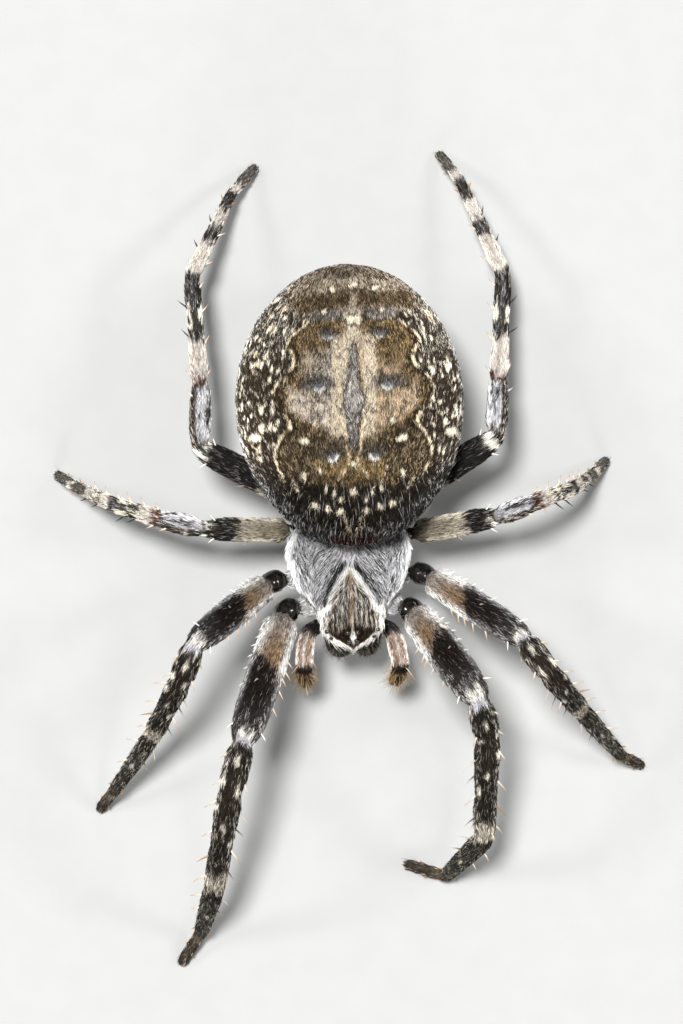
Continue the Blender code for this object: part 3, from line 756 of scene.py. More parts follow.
def paint_abdomen(points, normals, flow):
    """Colours of the abdomen, above and below."""
    local = abdomen_local(points)
    across, back = pattern_across(local), local[:, 1]
    aside = np.abs(across)
    warp = 0.16 * (grain(points, 0.45, 3) - 0.5)
    paint = Paint(len(points), (0.013, 0.009, 0.006), (0.2, 0.14, 0.085), 0.2)
    rim = np.hypot(local[:, 0] / ABDOMEN_HALF[0], local[:, 1] / ABDOMEN_HALF[1])
    above = smooth(-0.5, -0.15, normals[:, 2])
    rearward = smooth(-3.0, -1.9, back + warp)

    flank = rearward * smooth(1.5, 2.3, aside) * above
    paint.over(flank, (0.015, 0.01, 0.006), (0.38, 0.32, 0.25), 0.14)
    paint.over(0.8 * flank * smooth(0.8, 1.9, back), pale=(0.62, 0.57, 0.48), share=0.26)
    gaps = smooth(0.12, 0.32, grain(points, 0.5, 17))
    fine = flecks(points, flow, 0.18, 0.08, 0.028, 0.85, 41) * gaps
    paint.over(fine * above * (0.2 + 0.7 * rearward), pale=(0.66, 0.585, 0.46), share=0.85)
    small = flecks(points, flow, 0.27, 0.115, 0.064, 0.96, 51) * gaps
    paint.over(small * above * (0.1 + 0.9 * rearward), UMBER, (0.86, 0.78, 0.64), 0.97)
    large = flecks(points, flow, 0.38, 0.15, 0.095, 0.95, 31) * rearward
    warm = smooth(0.4, 0.65, grain(points, 0.9, 37))[:, None]
    tinted = np.array(IVORY) + warm * (np.array(HONEY) - IVORY)
    paint.over(large * above * smooth(1.7, 2.4, aside), UMBER, tinted, 0.97)
    front = smooth(-2.1, -2.9, back + warp)
    paint.over(front * above * (1.0 - small), (0.004, 0.0026, 0.0014), (0.3, 0.27, 0.22), 0.035)
    paint.over(smooth(0.94, 1.0, rim) * above, (0.05, 0.048, 0.045), (0.8, 0.78, 0.75), 0.42)
    silver_flank = smooth(0.82, 0.95, rim) * smooth(-1.5, -3.0, back) * above
    paint.over(silver_flank, (0.008, 0.007, 0.006), (0.5, 0.49, 0.48), 0.16)

    paint_rear(paint, aside, back, warp, above)
    paint_folium(paint, across, back, warp, above, points)
    paint_middle(paint, aside, back, warp, above, points)
    paint_lines(paint, aside, back, above, points)
    red = smooth(-4.0, -4.5, back) * smooth(1.2, 0.4, aside)
    paint.over(red, (0.022, 0.005, 0.004), (0.09, 0.03, 0.022), 0.16)
    paint_belly(paint, aside, back, normals)
    return paint


def paint_rear(paint, aside, back, warp, above):
    """The bands across the abdomen's rear."""
    there = smooth(2.75, 3.0, back + 0.5 * warp) * above
    paint.over(0.8 * there * smooth(2.6, 1.7, aside), DARK_BROWN, (0.42, 0.36, 0.28), 0.42)
    speckle = band(2.82, 0.14, 0.24, back + warp) * band(0.95, 0.3, 0.4, aside)
    paint.over(0.7 * speckle * above, (0.075, 0.066, 0.058), (0.48, 0.45, 0.41), 0.52)
    dark_band = band(3.42, 0.16, 0.22, back + 1.6 * warp + 0.1 * aside) * smooth(2.4, 1.7, aside)
    paint.over(0.9 * dark_band * above, (0.03, 0.02, 0.011), (0.28, 0.2, 0.11), 0.32)
    pale_band = band(3.92, 0.1, 0.2, back + warp + 0.12 * aside) * smooth(2.0, 1.0, aside)
    paint.over(0.8 * pale_band * above, UMBER, (0.6, 0.52, 0.41), 0.52)


def paint_folium(paint, across, back, warp, above, points):
    """The leaf-shaped centre: gold at its edges, grey-beige inside, dark in its waist."""
    aside, on_left = np.abs(across), across[:, None] > 0.0
    edge = np.interp(back, *zip(*FOLIUM_EDGE), left=0.0, right=0.0)
    inside = smooth(-0.06, 0.1, edge - aside + 0.5 * warp) * above
    inside *= smooth(-3.0, -2.55, back + warp) * smooth(3.0, 2.6, back + warp)
    golden = (0.37, 0.255, 0.125)
    paint.over(inside, (0.028, 0.018, 0.009), golden, 0.42)
    fringe = smooth(0.4, 0.12, edge - aside + 1.5 * warp) * inside
    paint.over(fringe, (0.011, 0.008, 0.005), golden, 0.18)

    lobe = 1.0 - smooth(0.6, 1.22, np.hypot(aside / 1.85, (back - 0.8) / 1.6) + 1.6 * warp)
    beige = np.where(on_left, (0.52, 0.395, 0.26), (0.62, 0.56, 0.475))
    paint.over(lobe * inside, (0.09, 0.07, 0.05), beige, 0.62)
    patch = np.hypot((across - 1.25) / 0.85, (back - 1.7) / 0.75) + 2.0 * warp
    paint.over(0.85 * (1.0 - smooth(0.4, 1.1, patch)) * inside, (0.036, 0.025, 0.013), golden, 0.46)
    rear_gold = band(2.25, 0.25, 0.3, back + 1.5 * warp) * band(1.05, 0.55, 0.4, aside)
    paint.over(0.9 * rear_gold * inside, (0.024, 0.016, 0.008), (0.43, 0.305, 0.16), 0.42)
    arms = band(0.0, 0.26, 0.42, back + 1.0 - 0.5 * aside + 1.5 * warp) * smooth(2.4, 1.9, aside)
    pale_arms = np.where(on_left, (0.64, 0.5, 0.345), (0.72, 0.64, 0.54))
    paint.over(arms * above, (0.12, 0.09, 0.065), pale_arms, 0.68)
    floor_line = -1.58 + 0.44 * aside
    dark_waist = smooth(0.16, -0.2, back - floor_line + 1.4 * warp) * smooth(-2.7, -2.4, back)
    dark_waist *= smooth(0.22, 0.42, aside)
    paint.over(dark_waist * inside, (0.02, 0.013, 0.008), (0.38, 0.29, 0.18), 0.3)
    dips = 1.0 - smooth(0.3, 1.2, np.hypot((aside - 1.25) / 0.72, (back - 0.52) / 0.24) + 2.2 * warp)
    paint.over(0.7 * dips * inside, (0.03, 0.026, 0.022), (0.26, 0.24, 0.22), 0.3)
    honey = 1.0 - smooth(0.5, 1.1, np.hypot((aside - 0.68) / 0.72, (back + 2.1) / 0.52) + 1.8 * warp)
    paint.over(0.9 * honey * above, (0.04, 0.025, 0.01), (0.54, 0.39, 0.19), 0.52)

    mottle = smooth(0.54, 0.7, grain(points, 0.17, 5)) + smooth(0.62, 0.78, grain(points, 0.4, 6))
    paint.over(0.6 * inside * mottle, (0.034, 0.024, 0.014), share=0.26)


def paint_middle(paint, aside, back, warp, above, points):
    """Along the middle line: a pale stripe with its tail, and the dark mark."""
    stripe = smooth(0.42, 0.16, aside + 1.5 * warp) * smooth(1.6, 1.95, back) * smooth(3.2, 2.9, back)
    paint.over(0.85 * stripe * above, (0.2, 0.14, 0.08), (0.82, 0.75, 0.61), 0.62)
    tail = smooth(0.16, 0.07, aside) * smooth(2.9, 3.1, back) * smooth(4.3, 4.0, back)
    paint.over(0.7 * tail * above, UMBER, (0.68, 0.6, 0.48), 0.6)
    beside = band(0.52, 0.14, 0.2, aside + warp) * smooth(-1.5, -1.0, back) * smooth(2.4, 1.9, back)
    paint.over(beside * above, pale=(0.76, 0.67, 0.53), share=0.7)
    mark = np.interp(back, *zip(*MIDDLE_MARK), left=0.0, right=0.0)
    within = mark - aside + 1.1 * warp + 0.1 * (grain(points, 0.13, 8) - 0.5)
    mark_here = smooth(-0.05, 0.05, within) * (mark > 0.01) * above
    light = 0.55 + 0.45 * smooth(-1.3, -0.6, back)
    paint.over(0.9 * mark_here, (0.07, 0.062, 0.056), (0.7, 0.665, 0.62), 0.6 * light)
    paint.over(0.6 * mark_here * smooth(0.52, 0.66, grain(points, 0.14, 10)), share=0.16)
    outline = band(0.0, 0.035, 0.04, within) * (mark > 0.01) * above
    paint.over(0.75 * outline, (0.03, 0.022, 0.018), share=0.18)


def paint_lines(paint, aside, back, above, points):
    """The pale wavy lines, spots and dimples, each with its dark edging; each dimple's white front arc is
    white hair with a painted glint.
    """
    breaks = 0.25 + 0.75 * smooth(0.25, 0.48, grain(points, 0.13, 23))
    for line, half in FOLIUM_LINES:
        paint.over(0.9 * near_line(aside, back, line, 3.2 * half) * above, BLACK, share=0.04)
    for line, half in (*FOLIUM_LINES, *MIDDLE_LINES):
        here = near_line(aside, back, line, half + 0.006) * above * breaks
        paint.over(here, (0.4, 0.28, 0.14), (0.84, 0.74, 0.56), 0.82)
    for out, where, wide, long in ABDOMEN_SPOTS:
        far = np.hypot((aside - out) / wide, (back - where) / long) + 0.5 * (breaks - 0.8)
        paint.over(0.8 * band(0.0, 1.1, 0.7, far) * above, BLACK_BROWN, share=0.08)
        paint.over((1.0 - smooth(0.65, 1.15, far)) * above, BEIGE, (0.84, 0.77, 0.62), 0.9)
    for out, where, size, slant, white in SIGILLA:
        far = np.hypot(aside - out, back - where) / size
        halo = 1.0 - smooth(1.2, 2.6, np.hypot((aside - out) * 0.55, back - where - 0.08) / size)
        paint.over(0.7 * halo * above, (0.03, 0.026, 0.022), GREY, 0.3)
        paint.over((1.0 - smooth(0.6, 1.0, far)) * above, SLATE, (0.3, 0.32, 0.36), 0.4)
        # White arc on the dimple's front side only: white hairs with a painted glint.
        ring = band(1.15, 0.26, 0.2, far)
        ring *= smooth(0.02, -0.08, back - where + slant * (aside - out))
        paint.over(ring * above * white, CREAM, WHITE, 0.85)


def paint_belly(paint, aside, back, normals):
    """Below: a dark middle between two pale curved bars, and brown, streaked flanks."""
    below = smooth(-0.35, -0.65, normals[:, 2])
    paint.over(below, DARK_BROWN, GREY_BEIGE, 0.22)
    paint.over(below * smooth(1.25, 1.0, aside), BLACK, UMBER, 0.1)
    bar = near_line(aside, back, ((1.12, -1.9), (1.28, -1.2), (1.22, -0.4), (1.0, 0.3)), 0.16)
    paint.over(bar * below, PALE_GOLD, CREAM, 0.85)
    spots = np.hypot(aside - 0.75, back - 1.9) / 0.16
    paint.over((1.0 - smooth(0.7, 1.1, spots)) * below, PALE_GOLD, CREAM, 0.8)


# --- the markings: head and thorax

TEARDROP = ((0.02, -0.04), (0.16, -0.26), (0.34, -0.58), (0.52, -0.92), (0.7, -1.2), (0.95, -1.48))
LOZENGE = (0.02, -2.43, 0.11, 0.29)


def shield_half_width(y):
    """Half width of the shield at a distance along it."""
    return eased(SHIELD_OUTLINE, y - SHIELD_FRONT_Y)


def paint_head(paint, points, aside, y, edge, warp, above):
    """The streaked head between its pale V and sides, and the dark round the eyes."""
    head = smooth(0.02, -0.08, y + 0.1 + 1.62 * aside - 0.25 * aside**2)
    streak = 0.5 + 0.5 * np.cos((aside + 0.16 * warp) * 2.0 * math.pi / 0.16)
    paint.over(head * above, (0.017, 0.011, 0.007), (0.48, 0.42, 0.35), 0.22)
    paint.over(head * above * streak, pale=(0.8, 0.73, 0.64), share=0.54)
    crest = smooth(0.11, 0.05, aside) * smooth(-2.1, -1.9, y)
    paint.over(crest * head * above, pale=(0.56, 0.45, 0.34), share=0.72)
    side_pale = smooth(0.76, 1.02, aside + warp) * smooth(-1.0, -1.3, y)
    paint.over(side_pale * above, (0.08, 0.066, 0.055), (0.86, 0.83, 0.78), 0.5)
    eyes = smooth(-1.8, -2.24, y + 3.0 * warp - 0.08 * (grain(points, 0.09, 12) - 0.5))
    eyes *= smooth(0.2, 0.34, edge) * (0.55 + 0.45 * smooth(0.04, 0.16, aside))
    paint.over(eyes * above, (0.012, 0.007, 0.004), (0.14, 0.1, 0.065), 0.05)
    v_line = near_line(aside, y, TEARDROP, 0.085) * above
    paint.over(0.9 * v_line, (0.3, 0.29, 0.28), (0.9, 0.88, 0.85), 0.85)


def paint_lozenge(paint, x, y, above):
    """The white lozenge between the eyes and the thin line behind it."""
    x0, y0, wide, long = LOZENGE
    far = np.abs(x - x0) / wide + np.abs(y - y0) / long
    paint.over((1.0 - smooth(0.8, 1.2, far)) * above, CREAM, WHITE, 1.0)
    line = smooth(0.035, 0.02, np.abs(x - x0)) * smooth(-2.4, -2.2, y) * smooth(-1.5, -1.8, y)
    paint.over(line * above, BEIGE, CREAM, 0.9)


def paint_front_below(paint, aside, y, z, normals, above):
    """The low sides, the breastplate with its stripe, and the face."""
    side = (1.0 - above) * smooth(3.2, 3.5, z)
    paint.over(side * smooth(-1.3, -1.1, y), GREY, SILVER, 0.6)
    below = smooth(-0.4, -0.7, normals[:, 2])
    paint.over(below, BLACK_BROWN, GREY, 0.25)
    stripe = smooth(0.22, 0.1, aside) * smooth(-1.2, -0.9, y) * smooth(1.0, 0.6, y)
    paint.over(below * stripe, UMBER, BEIGE, 0.6)
    face = smooth(-0.45, -0.65, normals[:, 1]) * (1.0 - smooth(4.42, 4.56, z))
    paint.over(face, BLACK_BROWN, GREY_BEIGE, 0.3)


def paint_front(points, normals):
    """Colours of head, thorax and breastplate."""
    x, y, z = shield_local(points).T
    aside = np.abs(x)
    warp = 0.1 * (grain(points, 0.25, 7) - 0.5)
    above = smooth(-0.15, 0.1, normals[:, 2])
    paint = Paint(len(points), (0.026, 0.025, 0.027), (0.72, 0.715, 0.725), 0.48)
    edge = shield_half_width(y) - aside

    middle = smooth(0.55, 0.0, aside) * smooth(-0.1, 0.5, y)
    paint.over(middle * above, (0.12, 0.11, 0.115), (0.6, 0.575, 0.6), 0.6)
    rear_red = smooth(0.9, 1.4, y) * smooth(1.3, 0.6, aside)
    paint.over(rear_red * above, (0.03, 0.008, 0.006), (0.12, 0.05, 0.04), 0.3)
    shadow = near_line(aside, y, [(a + 0.17, b + 0.02) for a, b in TEARDROP[:5]], 0.13)
    paint.over(shadow * above, (0.007, 0.007, 0.007), SILVER, 0.1)
    paint_head(paint, points, aside, y, edge, warp, above)
    paint_lozenge(paint, x, y, above)
    thorax = smooth(-1.45, -1.25, y)
    margin = smooth(0.28, 0.12, edge + warp) * thorax * smooth(1.45, 1.15, y)
    paint.over(margin, (0.32, 0.32, 0.32), (0.76, 0.76, 0.755), 0.86)
    inward = edge + 0.6 * warp - 0.15 - 0.08 * smooth(-1.6, -2.1, y)
    border = smooth(0.08, 0.0, inward) * smooth(-1.05, -1.45, y)
    paint.over(border, (0.2, 0.165, 0.13), (0.82, 0.79, 0.74), 0.8)
    paint_front_below(paint, aside, y, z, normals, above)
    return paint


# --- the markings: legs

# Pale spots of legs 1 and 2: (segment, fraction, sideways place, half length, half width).
FRONT_LEG_SPOTS = (
    (2, 0.46, 0.0, 0.2, 0.09), (2, 0.9, -0.55, 0.16, 0.11),
    (2, 0.8, 0.8, 0.12, 0.1), (3, 0.3, 0.05, 0.19, 0.11),
    (3, 0.1, 0.85, 0.12, 0.1), (3, 0.46, -0.7, 0.16, 0.09),
    (4, 0.45, -0.1, 0.14, 0.14),
)
RING_START, RING_SOFT = -0.02, 0.03
# Rings of the rear legs: for each segment, (where the ring ends, kind).
REAR_LEG_RINGS = {
    3: ((0.07, "rust"), (0.4, "cream"), (0.53, "black"), (0.67, "side_cream"), (1.02, "black")),
    4: ((0.37, "cream"), (0.56, "black"), (0.77, "cream"), (1.02, "black")),
    5: ((0.24, "cream"), (1.02, "grizzle")),
}
THIRD_LEG_RINGS = {
    3: ((0.1, "rust"), (0.36, "cream"), (0.62, "blotch"), (0.84, "side_cream"), (1.02, "black")),
    4: ((0.2, "cream"), (0.46, "blotch"), (0.66, "cream"), (1.02, "grizzle")),
    5: ((0.28, "blotch"), (1.02, "grizzle")),
}
RING_PAINT = {
    "rust": (BLACK_BROWN, RUST, 0.5),
    "cream": ((0.16, 0.12, 0.09), (0.66, 0.61, 0.55), 0.84),
    "black": ((0.006, 0.005, 0.004), (0.3, 0.28, 0.26), 0.22),
    "side_cream": (BLACK, CREAM, 0.3),
    "grizzle": ((0.01, 0.008, 0.006), (0.36, 0.33, 0.29), 0.36),
    "blotch": (BLACK, CREAM, 0.45),
}


def limb_coordinates(limb, points, normals):
    """Segment, fraction along it, sideways and upward facing, and station."""
    station = limb.nearest(points)
    side = dots(normals, limb.across[station])
    top = dots(normals, limb.top[station])
    return limb.segment[station], limb.share[station], side, top, station


def leg_rim(side, top):
    """The two sides of a leg, seen from above."""
    return smooth(0.5, 0.85, np.abs(side)) * smooth(-0.75, -0.2, top)


def paint_front_femur(paint, segment, t, side, top, points):
    """The femora of legs 1 and 2: tan and white, then black."""
    warp = grain(points, 0.1, 9) - 0.5
    femur = segment == 1
    rim = leg_rim(side, top)
    edge = 0.47 - 0.07 * side + 0.1 * warp
    base = femur * smooth(0.06, 0.13, t) * smooth(edge + 0.05, edge - 0.05, t)
    paint.over(base, (0.07, 0.048, 0.032), (0.42, 0.335, 0.26), 0.56)
    rich = base * smooth(0.22, 0.42, t) * smooth(0.65, 0.2, np.abs(side + 0.1))
    paint.over(0.9 * rich, (0.07, 0.04, 0.018), (0.36, 0.235, 0.13), 0.6)
    paint.over(base * smooth(0.3, 0.12, t), (0.1, 0.082, 0.07), (0.5, 0.435, 0.385), 0.52)
    outer = smooth(0.2, 0.55, side) * smooth(0.42, 0.15, t)
    paint.over(0.8 * base * outer, (0.14, 0.125, 0.115), (0.72, 0.69, 0.65), 0.7)
    paint.over(base * rim, (0.13, 0.125, 0.12), (0.76, 0.74, 0.71), 0.78)
    under = femur * smooth(-0.2, -0.6, top)
    paint.over(under, DARK_BROWN, TAN, 0.45)

    dark = femur * smooth(edge - 0.04, edge + 0.04, t) * smooth(-0.75, -0.35, top)
    paint.over(dark, (0.008, 0.005, 0.0035), (0.22, 0.21, 0.2), 0.03)
    paint.over(dark * smooth(0.7, 0.95, t), (0.008, 0.006, 0.005), (0.42, 0.41, 0.4), 0.18)
    fringe = dark * smooth(0.72, 0.96, np.abs(side)) * smooth(1.0, 0.5, t)
    paint.over(0.8 * fringe, GREY, SILVER, 0.45)
    low_fringe = dark * smooth(-0.35, -0.7, side) * smooth(0.4, 0.7, t)
    paint.over(0.6 * low_fringe, pale=(0.46, 0.44, 0.42), share=0.36)


def paint_front_ends(paint, segment, t, side, top, points, flow):
    """The rest of legs 1 and 2: black with grizzled clumps and streaks."""
    warp = grain(points, 0.1, 9) - 0.5
    ends = segment >= 2
    clumps = flecks(points, flow, 0.15, 0.095, 0.028, 0.85, 61)
    clumps *= smooth(0.3, 0.55, grain(points, 0.3, 67))
    paint.over(ends, (0.005, 0.004, 0.003), (0.28, 0.25, 0.21), 0.08)
    paint.over(ends * clumps * 0.9, (0.06, 0.053, 0.042), (0.44, 0.4, 0.33), 0.62)
    paint.over(0.6 * ends * leg_rim(side, top), pale=(0.5, 0.47, 0.41), share=0.36)
    strip = ((segment == 3) & (t < 0.3)) | ((segment == 2) & (t > 0.55))
    paint.over(strip * smooth(0.6, 0.3, np.abs(side - 0.06)), BLACK_BROWN, share=0.02)
    streak = (segment == 2) * smooth(0.62, 0.5, t) * flecks(points, flow, 0.22, 0.22, 0.03, 0.8, 63)
    paint.over(0.8 * streak, pale=(0.7, 0.66, 0.58), share=0.8)
    pale_ring = (segment == 3) * band(0.86, 0.07, 0.05, t + 0.1 * warp)
    paint.over(0.9 * pale_ring * smooth(-0.5, 0.0, top), (0.07, 0.055, 0.04), (0.7, 0.64, 0.53), 0.58)
    foot = (segment == 4) * smooth(0.05, 0.25, t) * 0.6
    paint.over(foot, pale=(0.42, 0.39, 0.33), share=0.28)
    far_end = (segment == 4) * smooth(0.8, 1.0, t) + (segment == 5)
    paint.over(far_end * 0.7, BLACK_BROWN, (0.26, 0.21, 0.15), 0.28)
    tarsus_base = (segment == 5) * smooth(0.3, 0.12, t)
    paint.over(0.6 * tarsus_base, UMBER, (0.4, 0.36, 0.3), 0.4)


def knee(paint, segment, t, side, top, points):
    """The cream and lilac tufts where femur and patella meet."""
    ragged = 0.06 * (grain(points, 0.07, 65) - 0.5)
    cream = (segment == 1) * smooth(0.95, 0.97, t + ragged + 0.02 * np.abs(side))
    cream = cream * smooth(0.9, 0.55, np.abs(side)) * smooth(0.0, 0.35, top)
    lilac = (segment == 2) * smooth(0.17, 0.09, t + ragged) * smooth(0.45, 0.75, top)
    paint.over(cream, (0.12, 0.1, 0.08), (0.9, 0.87, 0.8), 0.74)
    paint.over(lilac, GREY, LILAC, 0.7)


def add_spots(paint, limb, station, side, top):
    """Ragged pale spots at given fractions of the leg's lengths."""
    ragged = 0.9 * (grain(limb.centre[station] + np.outer(side, (0.2, 0.2, 0.0)), 0.09, 69) - 0.5)
    for segment, where, sideways, half_long, half_wide in FRONT_LEG_SPOTS:
        along = limb.along[station] - limb.along[limb.station(segment, where)]
        far = np.hypot(along / (1.35 * half_long), (side - sideways) / (2.4 * half_wide))
        here = (1.0 - smooth(0.35, 1.15, far + ragged)) * smooth(0.0, 0.25, top + 0.4)
        paint.over(here, (0.12, 0.1, 0.075), (0.78, 0.73, 0.63), 0.78)


def paint_rings(paint, segment, t, side, warp, rings):
    """Light and dark rings round the outer lengths of a leg."""
    place = t + 0.09 * warp
    for number, row in rings.items():
        start = RING_START
        for end, kind in row:
            dark, pale, share = RING_PAINT[kind]
            here = (segment == number) * smooth(start - RING_SOFT, start + RING_SOFT, place)
            here = here * smooth(end + RING_SOFT, end - RING_SOFT, place)
            if kind == "side_cream":
                share = 0.12 + 0.78 * smooth(0.35, 0.65, np.abs(side))
            if kind == "blotch":
                share = 0.12 + 0.74 * smooth(-0.1, 0.1, warp)
            paint.over(here, dark, pale, share)
            start = end


def paint_rear_femur(paint, pair, segment, t, side, top, warp, points):
    """The femora of legs 3 and 4: tan with a black end."""
    femur = segment == 1
    dark_from = 0.66 if pair == 3 else 0.42
    tan = femur * smooth(0.04, 0.09, t)
    olive = (0.32, 0.28, 0.205) if pair == 3 else (0.3, 0.215, 0.16)
    paint.over(tan, (0.08, 0.065, 0.046), olive, 0.68)
    paint.over(tan * smooth(0.5, 0.85, np.abs(side)), pale=(0.52, 0.47, 0.38), share=0.8)
    paint.over(tan * smooth(0.36, 0.66, t), pale=(0.54, 0.48, 0.39), share=0.72)
    paint.over(tan * smooth(0.3, 0.05, t), DARK_BROWN, (0.2, 0.17, 0.12), 0.5)
    black = femur * smooth(dark_from - 0.05, dark_from + 0.05, t + 0.09 * warp)
    paint.over(black, (0.006, 0.005, 0.004), (0.22, 0.21, 0.2), 0.11)
    ring = femur * smooth(0.89, 0.93, t) * smooth(-0.2, 0.1, top)
    ring *= smooth(0.46, 0.56, grain(points, 0.15, 13))
    paint.over(ring, BEIGE, (0.88, 0.85, 0.78), 0.92)


def paint_rear_leg(paint, pair, segment, t, side, top, points, flow):
    """Legs 3 and 4: the femora, pale patellae and ringed ends."""
    warp = 2.0 * (grain(points, 0.1, 11) - 0.5)
    paint_rear_femur(paint, pair, segment, t, side, top, warp, points)
    patella = segment == 2
    streaks = flecks(points, flow, 0.22, 0.3, 0.05, 0.9, 71)
    paint.over(patella, BLACK, GREY_BEIGE, 0.28)
    white = patella * smooth(0.04, 0.16, t) * smooth(1.0, 0.9, t) * smooth(-0.5, -0.3, side)
    white = white * smooth(-0.1, 0.15, top + 0.45 * (side > 0.0))
    paint.over(white, (0.14, 0.135, 0.14), (0.72, 0.71, 0.73), 0.7)
    paint.over(white * streaks, BLACK, share=0.04)
    rings = THIRD_LEG_RINGS if pair == 3 else REAR_LEG_RINGS
    paint_rings(paint, segment, t, side, warp, rings)
    middle = ((segment == 3) & (t > 0.66)) | ((segment == 4) & (t > 0.4) & (t < 0.56))
    paint.over(0.7 * middle * smooth(0.35, 0.1, np.abs(side)), pale=(0.46, 0.45, 0.47), share=0.42)
    lines = (segment >= 3) * flecks(points, flow, 0.3, 0.32, 0.024, 0.7, 81)
    paint.over(0.45 * lines, DARK_BROWN, TAN, 0.35)


def paint_leg(pair, limb, points, normals, flow):
    """Colours of one leg, and how bare its black parts are."""
    segment, t, side, top, station = limb_coordinates(limb, points, normals)
    paint = Paint(len(points), BLACK_BROWN, SILVER, 0.3)
    coxa = segment == 0
    hairy = coxa * smooth(0.78, 0.72, t)
    paint.over(hairy, (0.13, 0.125, 0.12), (0.56, 0.55, 0.545), 0.72)
    paint.over(hairy * smooth(-0.3, -0.6, top), DARK_BROWN, GREY_BEIGE, 0.45)
    if pair <= 2:
        paint_front_femur(paint, segment, t, side, top, points)
        paint_front_ends(paint, segment, t, side, top, points, flow)
        knee(paint, segment, t, side, top, points)
        add_spots(paint, limb, station, side, top)
    else:
        paint_rear_leg(paint, pair, segment, t, side, top, points, flow)
    ring = (coxa & (t > 0.75)) | ((segment == 1) & (t < (0.085 if pair < 4 else 0.05)))
    paint.over(ring, BLACK, share=0.0)
    black = (segment == 1) * smooth(0.5, 0.58, t) * smooth(0.8, 0.7, t)
    black *= smooth(0.75, 0.35, np.abs(side))
    bare = np.where(ring, 1.0, 0.4 * black * (top > 0.0) * (pair <= 2))
    return paint, bare


def paint_palp(limb, points, normals):
    """Colours of a feeler: pinkish tan with white stripes, then an ochre brush."""
    _, t, side, *_ = limb_coordinates(limb, points, normals)
    paint = Paint(len(points), (0.13, 0.088, 0.062), (0.56, 0.425, 0.34), 0.6)
    stripe = 0.9 * smooth(0.22, 0.06, np.abs(side - 0.1)) + 0.8 * smooth(0.66, 0.9, np.abs(side))
    paint.over(stripe * smooth(0.62, 0.55, t), (0.3, 0.25, 0.21), (0.86, 0.82, 0.77), 0.76)
    paint.over(smooth(0.34, 0.26, t), (0.012, 0.01, 0.009), GREY, 0.12)
    paint.over(band(0.6, 0.03, 0.03, t), BLACK, DARK_BROWN, 0.2)
    paint.over(smooth(0.63, 0.67, t), (0.022, 0.012, 0.006), (0.4, 0.27, 0.14), 0.34)
    paint.over(smooth(0.64, 0.7, t) * smooth(0.6, 0.3, np.abs(side)), BLACK, share=0.1)
    return paint


def paint_jaw(points):
    """Colours of the jaws and of the small parts below: black with a little grey."""
    return Paint(len(points), (0.006, 0.005, 0.004), (0.11, 0.09, 0.07), 0.16)


# --- lie of the hair


def tangent(vectors, normals):
    """Vectors laid flat on the surface."""
    return unit(vectors - dots(vectors, normals)[:, None] * normals)


def flow_abdomen(points, normals):
    """Backwards from the shoulders on, and forwards down the front."""
    local = abdomen_local(points)
    chance = lattice_value(np.floor(points / 0.015 + 900.0), 15)
    sign = np.where(chance < smooth(-3.3, -1.9, local[:, 1]), 1.0, -1.0)
    way = np.zeros_like(points)
    way[:, 0] = 0.22 * local[:, 0] * (sign < 0.0) - 0.05 * local[:, 0] * (sign > 0.0)
    way[:, 1] = sign
    way[:, 2] = -0.12
    return tangent(way, normals)


def flow_front(points, normals):
    """Forwards, fanning out from the head and in from the margin, and in along the brow."""
    local = shield_local(points)
    aside = np.abs(local[:, 0])
    side = np.sign(local[:, 0])
    fan = 0.75 * smooth(0.0, 0.45, aside) - 1.35 * smooth(0.85, 1.55, aside)
    head = smooth(-0.9, -1.4, local[:, 1])
    brow = smooth(-2.15, -2.5, local[:, 1]) * smooth(0.15, 0.5, aside)
    fan = fan * (1.0 - head) - head * (0.1 * aside + 0.7 * brow)
    way = np.stack((side * fan, -np.ones(len(points)), np.zeros(len(points))), 1)
    low = normals[:, 2] < -0.3
    way[low] = (0.0, 1.0, 0.0)
    front = (normals[:, 1] < -0.5) & ~low & (local[:, 2] < 4.5)
    way[front] = (0.0, -0.4, -1.0)
    return tangent(turned(way, SHIELD_TURN), normals)


def flow_limb(limb, points, normals):
    """Towards the tip of the limb."""
    return tangent(limb.axis[limb.nearest(points)], normals)


def flow_down(points, normals):
    """Down and a little forwards."""
    return tangent(np.tile((0.0, -0.2, -1.0), (len(points), 1)), normals)


def dressed(label, points, normals):
    """Flow, paint and bareness of points that share one label."""
    bare = np.zeros(len(points))
    if label == ABDOMEN:
        flow = flow_abdomen(points, normals)
        return flow, paint_abdomen(points, normals, flow), bare
    if label == FRONT:
        flow = flow_front(points, normals)
        return flow, paint_front(points, normals), bare
    for key, limb in LEGS.items():
        if label == LEG_LABEL[key]:
            flow = flow_limb(limb, points, normals)
            paint, bare = paint_leg(key[0], limb, points, normals, flow)
            return flow, paint, bare
    for side, limb in PALPS.items():
        if label == PALP_LABEL[side]:
            return flow_limb(limb, points, normals), paint_palp(limb, points, normals), bare
    return flow_down(points, normals), paint_jaw(points), bare


# --- building meshes


